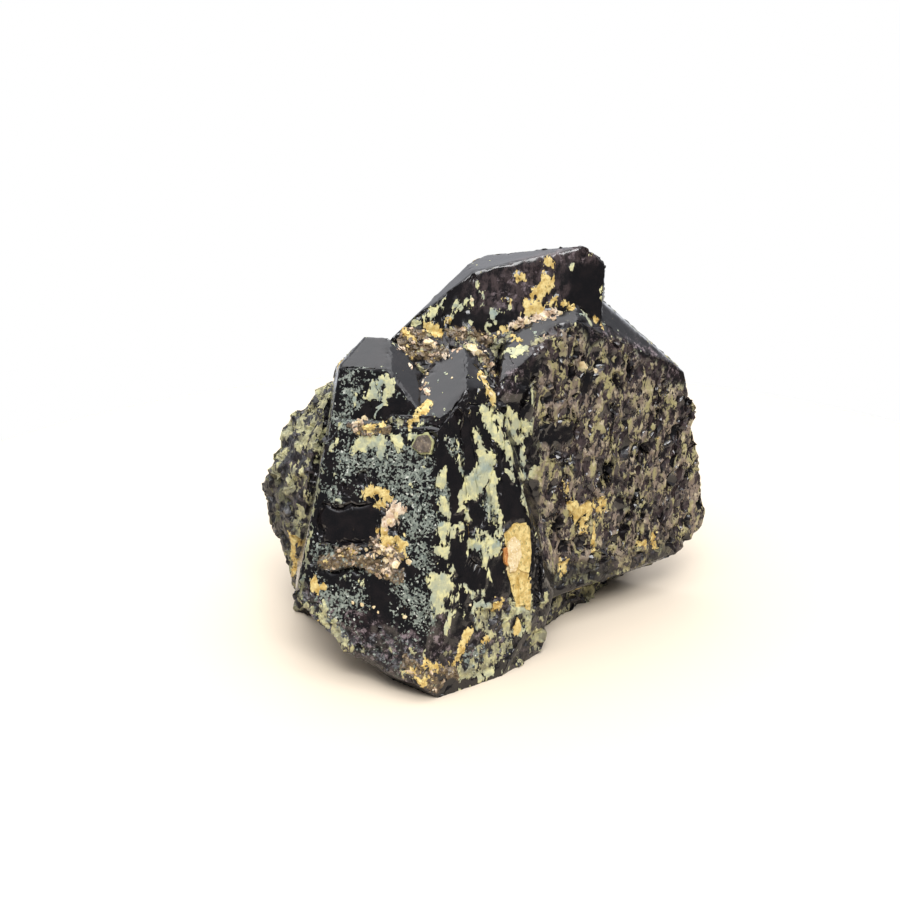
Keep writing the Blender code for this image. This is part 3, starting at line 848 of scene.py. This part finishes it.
# Mica plates
def prism(outline, low, high):
    """Corners and triangles of a block on an outline that is open to view from its middle."""
    count = len(outline)
    middle = np.mean(outline, axis=0)
    corners = [(*spot, low) for spot in outline] + [(*spot, high) for spot in outline]
    corners += [(*middle, low), (*middle, high)]
    faces = []
    for index in range(count):
        after = (index + 1) % count
        faces += [(index, after, count + after), (index, count + after, count + index)]
        faces += [(after, index, 2 * count), (count + index, count + after, 2 * count + 1)]
    return np.array(corners, float), np.array(faces)


def ragged(outline, cuts, reach, seed):
    """An outline with each side cut into short lengths and moved about."""
    random = np.random.default_rng(seed)
    made = []
    for start, end in zip(outline, outline[1:] + outline[:1]):
        for step in range(cuts):
            spot = np.array(start) + (np.array(end) - np.array(start)) * step / cuts
            made.append(spot + random.uniform(-reach, reach, 2))
    return made


RAGGED_REACH = 0.16


def sheet_on_face(face, outline, low, high, cuts, rough, seed):
    """One mica sheet: a thin block with a ragged outline and a slightly wavy top."""
    corners, faces = prism(ragged(outline, cuts, RAGGED_REACH, seed), low, high)
    points, faces, _ = split_up(place_on(face, corners), faces, np.zeros(len(faces)))
    outward = face_axes(face)[2]
    top = point_normals(points, faces) @ outward > 0.5
    lift = rough * (layered(points, 1.5, seed, 3, 0.6) + 0.6 * chips(points, 1.1, seed + 5))
    return points + outward * (lift * top)[:, None], faces.tolist()


def finished(name, parts, material):
    """One piece out of several parts, each with its corners and faces."""
    points, faces = [], []
    for part_points, part_faces in parts:
        start = len(points)
        points += part_points.tolist()
        faces += [[index + start for index in face] for face in part_faces]
    made = link(name, mesh_of(name, points, faces))
    made.data.materials.append(material)
    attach(made, "root")


HEX_MIDDLE = (12.4, 21.6)
HEX_REACH = [2.3, 2.6, 2.4, 2.9, 2.2, 2.5]
HEX_TURN = 12
HEX_INSET = 0.84


def hexagon(share):
    """The uneven hexagon of the plate on the front face, at a share of its size."""
    corners = []
    for side, reach in enumerate(HEX_REACH):
        turn = math.radians(360 / len(HEX_REACH) * side + HEX_TURN)
        corners.append((np.array([math.cos(turn), math.sin(turn)]) * reach * share + HEX_MIDDLE).tolist())
    return corners


# Sheets: outline across and up the face, low and high side, cuts in a side of the outline, roughness and seed
GOLDEN_BODY = [(5, 4.3), (7.7, 6.4), (11.7, 6.6), (13.2, -1.2), (13.6, -11.8), (10, -11.8), (7, -4.5)]
GOLDEN_UPPER = [(5.4, 4.2), (7.8, 6.2), (11.4, 6.2), (12.6, -1), (12.4, -4), (9.5, -3.2), (7, -1)]
GOLDEN_LOWER = [(9.6, -5), (12.8, -5.6), (13, -10.8), (10.6, -10.8)]
CREAM_SHEET = [(6.0, 2.4), (7.6, 3.6), (9.2, 2.6), (9.7, -0.6), (8.6, -3.4), (7.2, -4.0), (6.2, -1.8)]
ORANGE_EDGE = [(5.1, 1.0), (6.1, 1.4), (6.5, -2.6), (5.7, -2.2)]
GOLDEN_SHEETS = [
    (GOLDEN_BODY, -1.3, 0.0, 5, 0.28, 200),
    (GOLDEN_UPPER, -0.4, 0.35, 4, 0.05, 201),
    (GOLDEN_LOWER, -0.4, 0.3, 4, 0.26, 202),
]


def mica_plates():
    """The golden mica book in its slot on the right face, and the hexagonal plate high on the front face."""
    plates = [
        ("golden_mica_plate", RIGHT_FACE, GOLDEN_SHEETS, GOLDEN_MICA),
        ("cream_mica_flake", RIGHT_FACE, [(CREAM_SHEET, 0.2, 0.65, 3, 0.05, 211)], CREAM_MICA),
        ("orange_mica_edge", RIGHT_FACE, [(ORANGE_EDGE, -0.2, 0.5, 3, 0.04, 212)], STAINED_MICA),
        ("hexagonal_plate_rim", FRONT_FACE, [(hexagon(1), 0.1, 0.62, 4, 0.05, 221)], PALE_MICA),
        ("hexagonal_mica_plate", FRONT_FACE, [(hexagon(HEX_INSET), 0.4, 0.95, 2, 0.02, 222)], GREY_MICA),
    ]
    for name, face, sheets, mineral in plates:
        finished(name, [sheet_on_face(face, *sheet) for sheet in sheets], grain_material(mineral))


# Flakes and crumbs
FLAKE_LEAST, FLAKE_SHARE = 0.18, 0.28
FULL_TURN = 6.28


def flake(place, normal, radius, lean, seed):
    """One loose-looking mica flake: an irregular thin plate with a smaller top."""
    random = np.random.default_rng(seed)
    count = int(random.integers(5, 8))
    turns = (np.arange(count) + random.uniform(-0.3, 0.3, count)) / count * 2 * np.pi
    reach = radius * random.uniform(0.75, 1.15, count)
    ring = np.stack([np.cos(turns) * reach * 1.2, np.sin(turns) * reach, np.zeros(count)], axis=1)
    upward = np.array([0, 0, max(FLAKE_LEAST, radius * FLAKE_SHARE)])
    corners = np.concatenate([ring - upward, ring * 0.96 + upward * 0.4, ring * 0.8 + upward * 0.6])
    turn = Vector((0, 0, 1)).rotation_difference(Vector(normal)).to_matrix()
    spin = Matrix.Rotation(random.uniform(0, FULL_TURN), 3, "Z")
    tilt = Matrix.Rotation(math.radians(lean), 3, "X")
    heading = Matrix.Rotation(random.uniform(0, FULL_TURN), 3, "Z")
    corners = corners @ np.array(turn @ heading @ tilt @ spin).T
    faces = [list(range(count))[::-1], list(range(2 * count, 3 * count))]
    for level in (0, count):
        for index in range(count):
            after = (index + 1) % count
            faces.append([level + index, level + after, level + count + after, level + count + index])
    return corners + place + np.asarray(normal) * upward[2] * 0.3, faces


def placed_flakes(tree):
    parts = []
    for index, (pixel, radius, lean) in enumerate(CREAM_FLAKES):
        spot = seen_spot(tree, pixel)
        if spot:
            parts.append(flake(*spot, radius, lean, 300 + index))
    finished("cream_flakes", parts, grain_material(CREAM_FLAKE_MICA))


GRAIN_SHAPES = 5
GRAIN_CORNERS = 11


def grain_shapes(name, flatness, seed):
    """A few angular grains of about unit radius, as the hulls of scattered points."""
    made = bpy.data.collections.new(name)
    random = np.random.default_rng(seed)
    for index in range(GRAIN_SHAPES):
        shape = bmesh.new()
        for _ in range(GRAIN_CORNERS):
            spot = random.normal(size=3)
            spot = spot / np.linalg.norm(spot) * random.uniform(0.75, 1.1) * np.array([1.0, 0.8, flatness])
            shape.verts.new(spot)
        hull = bmesh.ops.convex_hull(shape, input=shape.verts)
        loose = [part for part in hull["geom_interior"] if isinstance(part, bmesh.types.BMVert)]
        bmesh.ops.delete(shape, geom=loose, context="VERTS")
        mesh = bpy.data.meshes.new(name + str(index))
        shape.to_mesh(mesh)
        shape.free()
        made.objects.link(bpy.data.objects.new(name + str(index), mesh))
    return made


SCATTER_INPUTS = {
    "Surface": "Geometry", "Per square metre": "Float", "Smallest": "Float", "Largest": "Float",
    "Tilt": "Float", "Seed": "Int", "Grains": "Collection",
}


def scatter_tree(material):
    """Grains on a surface where its share attribute is high."""
    tree = bpy.data.node_groups.new("scattered_grains", "GeometryNodeTree")
    for name, kind in SCATTER_INPUTS.items():
        tree.interface.new_socket(name, in_out="INPUT", socket_type="NodeSocket" + kind)
    tree.interface.new_socket("Grains", in_out="OUTPUT", socket_type="NodeSocketGeometry")
    add = partial(node, tree)
    given = add("NodeGroupInput").outputs
    share = add("GeometryNodeInputNamedAttribute", {"data_type": "FLOAT"}, "grain_share")
    density = add(MATH, TIMES, share, given["Per square metre"])
    seed = given["Seed"]
    spots = add("GeometryNodeDistributePointsOnFaces", None, given["Surface"], Density=density, Seed=seed)
    least, most = given["Smallest"], given["Largest"]
    size = add("FunctionNodeRandomValue", {"data_type": "FLOAT"}, least, most, Seed=seed)
    shapes = add("GeometryNodeCollectionInfo", None, given["Grains"], True)
    placed = add(
        "GeometryNodeInstanceOnPoints", None, spots,
        Instance=shapes, Pick_Instance=True, Rotation=spots.outputs["Rotation"], Scale=size,
    )
    low = add("ShaderNodeCombineXYZ", None, add(MATH, TIMES, given["Tilt"], -1.0))
    high = add("ShaderNodeCombineXYZ", None, given["Tilt"], given["Tilt"], FULL_TURN)
    spin = add("FunctionNodeRandomValue", {"data_type": "FLOAT_VECTOR"}, low, high)
    turned = add("GeometryNodeRotateInstances", None, placed, Rotation=spin)
    real = add("GeometryNodeRealizeInstances", None, turned)
    add("NodeGroupOutput", None, add("GeometryNodeSetMaterial", None, real, Material=material))
    return tree


# Grains keep off the underside: none below the first height in millimetres, all above the second
GRAIN_HEIGHTS = (1.5, 2.5)


def scattered(name, cluster, share, mineral, per_square_mm, sizes_mm, flatness, tilt, seed):
    """A piece made of many grains scattered on the cluster, joined in one mesh."""
    material = grain_material(mineral)
    mesh = cluster.data.copy()
    mesh.materials.clear()
    heights = np.array([vertex.co.z for vertex in mesh.vertices]) / MM
    store(mesh, "grain_share", share * smooth_step(*GRAIN_HEIGHTS, heights))
    made = link(name, mesh)
    grains = grain_shapes(name + "_shape", flatness, seed)
    change = made.modifiers.new("scatter", "NODES")
    change.node_group = scatter_tree(material)
    values = {
        "Per square metre": per_square_mm / MM ** 2, "Tilt": tilt, "Seed": seed, "Grains": grains,
        "Smallest": sizes_mm[0] * MM, "Largest": sizes_mm[1] * MM,
    }
    for item in change.node_group.interface.items_tree:
        if item.in_out == "INPUT" and item.name in values:
            change[item.identifier] = values[item.name]
    seen = made.evaluated_get(bpy.context.evaluated_depsgraph_get())
    result = bpy.data.meshes.new_from_object(seen)
    made.modifiers.clear()
    made.data = result
    for item in list(grains.objects):
        bpy.data.objects.remove(item)
    bpy.data.collections.remove(grains)
    result.materials.clear()
    result.materials.append(material)
    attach(made, "root")


def loose_grains(cluster, field):
    """Crumbs in the gullies and bands, and small flakes about them."""
    brown, near_crust = field["brown"], smooth_step(-0.4, 0.4, field["crust"])
    near_gold, near_pink = (smooth_step(-0.6, 0.3, field[name]) for name in ("gold", "pink"))
    feldspar = np.clip(brown * 0.5 + near_pink, 0, 1)
    golden = np.clip(near_gold * 0.5 + 0.35 * brown, 0, 1)
    green = np.clip(near_crust * (0.25 + 0.75 * field["broken"]), 0, 1)
    # Share, mineral, number per square millimetre, least and most radius, flatness, tilt in radians, seed
    kinds = {
        "brown_crumbs": (brown, BROWN_CRUMBS, 0.8, (0.25, 0.9), 0.6, 0.7, 401),
        "feldspar_crumbs": (feldspar, FELDSPAR, 0.35, (0.25, 0.95), 0.55, 0.7, 402),
        "golden_flakes": (golden, GOLDEN_FLAKE_MICA, 0.45, (0.2, 0.65), 0.3, 0.5, 403),
        "green_grains": (green, CHLORITE, 0.3, (0.12, 0.36), 0.6, 0.6, 404),
    }
    for name, kind in kinds.items():
        scattered(name, cluster, *kind)


# Materials
MATH, MIX, RANGE = "ShaderNodeMath", "ShaderNodeMix", "ShaderNodeMapRange"
NOISE, CELLS, SEPARATE = "ShaderNodeTexNoise", "ShaderNodeTexVoronoi", "ShaderNodeSeparateXYZ"
COLOURS = {"data_type": "RGBA"}
SOFT = {"interpolation_type": "SMOOTHSTEP"}
PLUS, MINUS, TIMES = {"operation": "ADD"}, {"operation": "SUBTRACT"}, {"operation": "MULTIPLY"}
LARGER, TIMES_PLUS = {"operation": "MAXIMUM"}, {"operation": "MULTIPLY_ADD"}


def linear(hex_colour):
    """An sRGB hex colour as linear red, green, blue and alpha."""
    made = []
    for place in (1, 3, 5):
        part = int(hex_colour[place:place + 2], 16) / 255
        made.append(part / 12.92 if part <= 0.04045 else ((part + 0.055) / 1.055) ** 2.4)
    return (*made, 1.0)


def node(tree, kind, settings=None, *values, **named):
    """Add a node: its settings, then values or links for its open inputs in order, and for others by name."""
    made = tree.nodes.new(kind)
    for name, value in (settings or {}).items():
        setattr(made, name, value)
    sockets = [socket for socket in made.inputs if socket.enabled][:len(values)]
    sockets += [made.inputs[name.replace("_", " ")] for name in named]
    for socket, value in zip(sockets, [*values, *named.values()]):
        if isinstance(value, bpy.types.Node):
            value = next(output for output in value.outputs if output.enabled)
        if isinstance(value, bpy.types.NodeSocket):
            tree.links.new(value, socket)
        else:
            socket.default_value = value
    return made


def new_material(name):
    made = bpy.data.materials.new(name)
    made.use_nodes = True
    return made, made.node_tree, made.node_tree.nodes["Principled BSDF"].inputs


# Loose minerals: the material's name and three tones, the last as specks
Mineral = namedtuple("Mineral", "name tones")
# Muscovite mica, split into thin sheets: golden, cream or grey, pale at a rim, orange where iron stains it
GOLDEN_MICA = Mineral("golden_mica", ("#C2A258", "#E6D08E", "#97894F"))
GOLDEN_FLAKE_MICA = Mineral("golden_flakes", GOLDEN_MICA.tones)
CREAM_MICA = Mineral("cream_mica", ("#D6BA86", "#EBDAB0", "#F3E9D0"))
CREAM_FLAKE_MICA = Mineral("cream_flakes", CREAM_MICA.tones)
STAINED_MICA = Mineral("stained_mica", ("#A8622C", "#CF9250", "#E0B57A"))
PALE_MICA = Mineral("pale_rim", ("#9A9C6E", "#C2C08C", "#A8946A"))
GREY_MICA = Mineral("grey_mica", ("#4C433C", "#75685A", "#978A74"))
# Mixed crumbs of quartz, feldspar and iron-stained clay: dull brown
BROWN_CRUMBS = Mineral("brown_crumbs", ("#4A3D33", "#7A6850", "#A08E6C"))
# Feldspar, broken along its flat cleavage: pinkish cream
FELDSPAR = Mineral("feldspar", ("#A88A70", "#D2BA9A", "#E8DAC2"))
# Chlorite, in fine scaly grains: yellowish green
CHLORITE = Mineral("chlorite_grains", ("#7E8458", "#B4B47E", "#9A9468"))
# Mica, feldspar and chlorite bend light nearly alike
GRAIN_IOR = 1.58
# Noises of a loose mineral: size in millimetres, detail, roughness
GRAIN_NOISES = {
    "mottle": (1.2, 4.0, 0.65), "speck": (0.5, 3.0, 0.6), "gloss": (0.9, 3.0, 0.55), "bump": (0.6, 4.0, 0.6),
}


def grain_material(mineral):
    """A loose mineral's look: mottled in three tones, with a soft, slightly pearly gloss."""
    made, tree, surface = new_material(mineral.name)
    add = partial(node, tree)
    place = add("ShaderNodeTexCoord").outputs["Object"]
    noises = {}
    for name, (size, detail, rough) in GRAIN_NOISES.items():
        noises[name] = add(NOISE, None, place, 1 / (size * MM), detail, rough)
    dark, light, specks = (linear(tone) for tone in mineral.tones)
    colour = add(MIX, COLOURS, add(RANGE, SOFT, noises["mottle"], 0.36, 0.64), dark, light)
    colour = add(MIX, COLOURS, add(RANGE, SOFT, noises["speck"], 0.56, 0.66), colour, specks)
    height = add(MATH, TIMES, noises["bump"], 0.25)
    bump = add("ShaderNodeBump", None, Height=height, Distance=MM, Strength=1.0)
    rough = add(MATH, TIMES_PLUS, noises["gloss"], 0.35, 0.2)
    tree.links.new(colour.outputs[2], surface["Base Color"])
    tree.links.new(rough.outputs[0], surface["Roughness"])
    tree.links.new(bump.outputs[0], surface["Normal"])
    surface["IOR"].default_value = GRAIN_IOR
    return made


# How much shorter patterns on the quartz are drawn across a crystal than along it
STREAK_SHARE = 0.5
RIM_REACH, RIM_EDGE = 0.3, 0.08
COVER_EDGE = 0.06
# Flecks and specks are wider than the real grains of 0.1 to 0.3 mm, which are too fine to show
FLECK = 0.75
SPECK_SIZE = 0.38
QUARTZ_IOR = 1.544
GLASSY_ROUGHNESS = 0.07
DULL_ROUGHNESS = 0.8

# Noises of the quartz and its crust: drawn out along the crystals or not, size in mm, detail, roughness
QUARTZ_NOISES = {
    "coarse": (True, 1.1, 3.0, 0.55),
    "fine": (True, 0.4, 2.0, 0.55),
    "rim": (True, 3.2, 4.0, 0.65),
    "film": (True, 1.5, 5.0, 0.75),
    "tan": (True, 2.4, 3.0, 0.55),
    "crumb": (False, 0.7, 4.0, 0.75),
    "patch": (False, 1.5, 4.0, 0.7),
    "blotch": (False, 3.0, 4.0, 0.6),
    "tint": (False, 1.6, 4.0, 0.65),
    "cloud": (False, 2.2, 5.0, 0.7),
    "veil": (False, 1.6, 6.0, 0.75),
    "zone": (False, 4.5, 2.0, 0.55),
    "gloss": (False, 5.0, 3.0, 0.55),
    "ripple": (False, 1.8, 4.0, 0.55),
}
# Two-toned colours: the noise that picks the tone, its low and high levels, and the tones
TWO_TONES = {
    "quartz": ("blotch", 0.4, 0.7, "#121113", "#1D191A"),
    "crumbs": ("tint", 0.35, 0.65, "#3A2F27", "#7C6A4E"),
    "pale": ("tint", 0.4, 0.62, "#B3B596", "#D8D39E"),
    "greyish": ("blotch", 0.35, 0.6, "#94A096", "#B3B596"),
    "tan": ("tan", 0.42, 0.6, "#86776A", "#A39B6E"),
    "olive": ("tint", 0.38, 0.64, "#655A47", "#ABA57C"),
    "gold": ("tint", 0.35, 0.65, "#BB9A50", "#E3CE8C"),
    "pink": ("tint", 0.35, 0.6, "#BC9C80", "#EAD9C0"),
}
# Colours in the quartz: the field that holds each, the noise that breaks it up, its two levels, and the tone
QUARTZ_VEILS = [
    ("smoky", "cloud", 0.42, 0.7, "#2C2324"),
    ("smoky", "veil", 0.51, 0.66, "#85777A"),
    ("film", "film", 0.4, 0.62, "#4A3F3F"),
]
CRUMB_PALE = "#B9AA88"
TAN_PALE = "#C4B69A"
# Dark green painted on the crust as shade
PAINTED_SHADE_GREEN = "#34362A"
# The last tone is a painted glint on a few of the grey grains
SPECK_DEEP, SPECK_PALE, SPECK_GLINT = "#4C5650", "#949B90", "#C9CCC2"


def streaked_place(add, place):
    """Object coordinates turned to the crystals' long axis and drawn out along it."""
    long_axis, front, right = axes_of(STREAK_LEAN)
    turn = Matrix((front, right, long_axis)).to_euler()
    turned = add("ShaderNodeMapping", None, place, Rotation=tuple(turn))
    return add("ShaderNodeMapping", None, turned, Scale=(1, 1, STREAK_SHARE))


def layered_colour(add, colour, layers):
    """Colours laid over one another, each by its share."""
    for share, over in layers:
        colour = add(MIX, COLOURS, share, colour, over)
    return colour


def rim_share(add, fields, noises, coarse, fine):
    """Thin crust along the borders between the large crystal's lens-shaped hollows."""
    uneven = add(MATH, TIMES_PLUS, fine, 1.2, add(MATH, TIMES, coarse, 1.3))
    level = add(MATH, MINUS, uneven, fields["borders"])
    share = add(RANGE, SOFT, level, -RIM_REACH, -RIM_REACH + RIM_EDGE)
    some = add(RANGE, SOFT, noises["rim"], 0.46, 0.51)
    for less in (some, fields["large"], add(MATH, MINUS, 1.0, fields["bare"])):
        share = add(MATH, TIMES, share, less)
    return share


def grey_specks(add, place, fields, noises):
    """Share and colour of the blue-grey grains, each of one flat tone; a few are painted whitish as glints.
    """
    grains = add(CELLS, None, place, 1 / (SPECK_SIZE * MM))
    number = add(SEPARATE, None, grains.outputs["Color"]).outputs
    patchy = add(MATH, TIMES_PLUS, add(RANGE, SOFT, noises["patch"], 0.38, 0.6), 0.75, 0.18)
    wanted = add(MATH, TIMES, fields["grey"], patchy)
    share = add(RANGE, SOFT, add(MATH, MINUS, wanted, number["X"]), 0.0, 0.05)
    colour = add(MIX, COLOURS, number["Y"], linear(SPECK_DEEP), linear(SPECK_PALE))
    # Painted glints: a few grains are painted whitish
    painted_glint = add(RANGE, SOFT, number["Z"], 0.95, 0.97)
    return share, add(MIX, COLOURS, painted_glint, colour, linear(SPECK_GLINT))


def crust_colour(add, fields, noises, tones):
    """Pale green crust, greyish in zones, tan on the large crystal, olive on broken rock and on sides turned
    from the camera, and dark green where shade is painted.
    """
    palest = add(RANGE, SOFT, noises["tint"], 0.52, 0.7)
    return layered_colour(add, tones["pale"], [
        (add(RANGE, SOFT, noises["zone"], 0.52, 0.62), tones["greyish"]),
        (fields["large"], add(MIX, COLOURS, palest, tones["tan"], linear(TAN_PALE))),
        (add(MATH, TIMES, fields["olive"], 0.8), tones["olive"]),
        # Painted shade: dark green laid over the crust
        (add(MATH, TIMES, fields["dim"], 0.68), linear(PAINTED_SHADE_GREEN)),
    ])


def morion_material():
    """Morion, a nearly opaque black quartz: glassy faces, dull where mineral crust has grown on it."""
    made, tree, surface = new_material("morion_quartz_with_chlorite_crust")
    add = partial(node, tree)
    place = add("ShaderNodeTexCoord").outputs["Object"]
    along = streaked_place(add, place)
    fields, noises, tones = {}, {}, {}
    for name in SHADER_FIELDS:
        fields[name] = add("ShaderNodeAttribute", {"attribute_name": name}).outputs["Fac"]
    for name, (drawn_out, size, detail, rough) in QUARTZ_NOISES.items():
        noises[name] = add(NOISE, None, along if drawn_out else place, 1 / (size * MM), detail, rough)
    for name, (which, low, high, dark, light) in TWO_TONES.items():
        share = add(RANGE, SOFT, noises[which], low, high)
        tones[name] = add(MIX, COLOURS, share, linear(dark), linear(light))

    # One ragged value breaks up the edge of every crust
    coarse, fine = (add(MATH, MINUS, noises[name], 0.5) for name in ("coarse", "fine"))
    flecks = add(CELLS, None, along, 1 / (FLECK * MM))
    fleck = add(MATH, MINUS, add(SEPARATE, None, flecks.outputs["Color"]), 0.5)
    rag = add(MATH, TIMES_PLUS, coarse, 2.0, add(MATH, TIMES_PLUS, fine, 1.3, fleck))
    levels = [add(MATH, PLUS, fields[name], rag) for name in ("crust", "gold", "pink")]
    crust, gold, pink = (add(RANGE, SOFT, level, -COVER_EDGE, COVER_EDGE) for level in levels)
    crust = add(MATH, LARGER, crust, rim_share(add, fields, noises, coarse, fine))
    speck, speck_colour = grey_specks(add, place, fields, noises)
    crumbed = add(RANGE, SOFT, add(MATH, TIMES_PLUS, rag, 0.5, fields["brown"]), 0.42, 0.58)
    pale_crumb = add(RANGE, SOFT, noises["crumb"], 0.55, 0.72)

    veils = []
    for field, which, low, high, tone in QUARTZ_VEILS:
        share = add(MATH, TIMES, fields[field], add(RANGE, SOFT, noises[which], low, high))
        veils.append((share, linear(tone)))
    colour = layered_colour(add, tones["quartz"], veils + [
        (crumbed, add(MIX, COLOURS, pale_crumb, tones["crumbs"], linear(CRUMB_PALE))),
        (speck, speck_colour),
        (crust, crust_colour(add, fields, noises, tones)),
        (gold, tones["gold"]),
        (pink, tones["pink"]),
    ])

    covered = add(MATH, LARGER, crust, add(MATH, LARGER, gold, pink))
    uneven = add(MATH, TIMES, add(MATH, LARGER, fields["broken"], fields["brown"]), 0.25)
    dull = add(MATH, LARGER, add(MATH, LARGER, covered, speck), uneven)
    glassy = add(MATH, TIMES_PLUS, noises["gloss"], 0.16, GLASSY_ROUGHNESS)
    rough = add(MATH, TIMES_PLUS, dull, add(MATH, MINUS, DULL_ROUGHNESS, glassy), glassy)

    # Bump in millimetres: crust, specks, dust on dull places, the quartz's ripple, and chips on broken rock
    height = add(MATH, TIMES, covered, 0.16)
    dust, chipped = add(MATH, TIMES, fine, dull), add(MATH, TIMES, coarse, fields["broken"])
    bumps = [(speck, 0.07), (dust, 0.22), (noises["ripple"], 0.035), (fine, 0.012), (chipped, 0.45)]
    for value, reach in bumps:
        height = add(MATH, TIMES_PLUS, value, reach, height)
    bump = add("ShaderNodeBump", None, Height=height, Distance=MM, Strength=1.0)
    tree.links.new(colour.outputs[2], surface["Base Color"])
    tree.links.new(rough.outputs[0], surface["Roughness"])
    tree.links.new(bump.outputs[0], surface["Normal"])
    surface["IOR"].default_value = QUARTZ_IOR
    return made


# Floor, light and camera
FLOOR_RADIUS = 0.17
FLOOR_SIDES = 96
FLOOR_COLOUR, FLOOR_ROUGHNESS = "#DFD1BD", 0.7
OVERHEAD_LIGHT, BACK_LIGHT, FRONT_LIGHT = 1.05, 0.85, 0.13
SKY_WHITE = "#F6F8FF"
LIGHT_AIM = (0, 0, 0.04)
# Softboxes: place, width and height in metres, and power in watts
SOFTBOXES = {
    "overhead_softbox": ((-0.1, 0.1, 0.9), (1.5, 1.2), 9.0),
    "front_softbox": ((0.1, -0.75, 0.85), (0.6, 0.4), 9.0),
}


def floor_piece():
    """A round board in place of what the specimen stands on: matt, painted in a pale warm tone."""
    shape = bmesh.new()
    bmesh.ops.create_circle(shape, cap_ends=True, radius=FLOOR_RADIUS, segments=FLOOR_SIDES)
    mesh = bpy.data.meshes.new("floor")
    shape.to_mesh(mesh)
    shape.free()
    material, _, surface = new_material("pale_matt_board")
    surface["Base Color"].default_value = linear(FLOOR_COLOUR)
    surface["Roughness"].default_value = FLOOR_ROUGHNESS
    mesh.materials.append(material)
    link("floor", mesh)


def softbox(name, place, size, power):
    lamp = bpy.data.lights.new(name, "AREA")
    lamp.shape = "RECTANGLE"
    lamp.size, lamp.size_y = size
    lamp.energy = power
    made = link(name, lamp)
    made.location = place
    made.rotation_euler = (Vector(LIGHT_AIM) - Vector(place)).to_track_quat("-Z", "Y").to_euler()


def surroundings():
    """White to the camera; to the object, bright overhead and behind, and darker in front."""
    world = bpy.data.worlds.new("studio")
    bpy.context.scene.world = world
    world.use_nodes = True
    world.node_tree.nodes.clear()
    add = partial(node, world.node_tree)
    way = add(SEPARATE, None, add("ShaderNodeTexCoord").outputs["Generated"]).outputs
    overhead = add(RANGE, SOFT, way["Z"], 0.35, 0.95)
    behind = add(RANGE, SOFT, way["Y"], 0.1, 0.9)
    light = add(MATH, TIMES_PLUS, behind, BACK_LIGHT, FRONT_LIGHT)
    light = add(MATH, TIMES_PLUS, overhead, OVERHEAD_LIGHT, light)
    to_object = add("ShaderNodeBackground", None, linear(SKY_WHITE), light)
    to_camera = add("ShaderNodeBackground", None, linear("#FFFFFF"), 1.0)
    ray = add("ShaderNodeLightPath").outputs["Is Camera Ray"]
    add("ShaderNodeOutputWorld", None, add("ShaderNodeMixShader", None, ray, to_object, to_camera))


def camera():
    lens = bpy.data.cameras.new("camera")
    lens.sensor_width = SENSOR
    lens.lens = FOCAL_PIXELS / PHOTO_SIZE * SENSOR
    lens.clip_start, lens.clip_end = 0.01, 10
    made = link("camera", lens)
    made.location = packed(EYE)
    made.rotation_euler = (math.radians(90 - PITCH), 0, 0)
    bpy.context.scene.camera = made


def build():
    camera()
    floor_piece()
    surroundings()
    for name, settings in SOFTBOXES.items():
        softbox(name, *settings)
    bpy.context.scene.view_settings.view_transform = "Standard"
    cluster, field, tree = main_piece()
    cluster.data.materials.append(morion_material())
    loose_grains(cluster, field)
    mica_plates()
    placed_flakes(tree)
    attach(cluster, "root")
    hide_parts(NODE)


build()
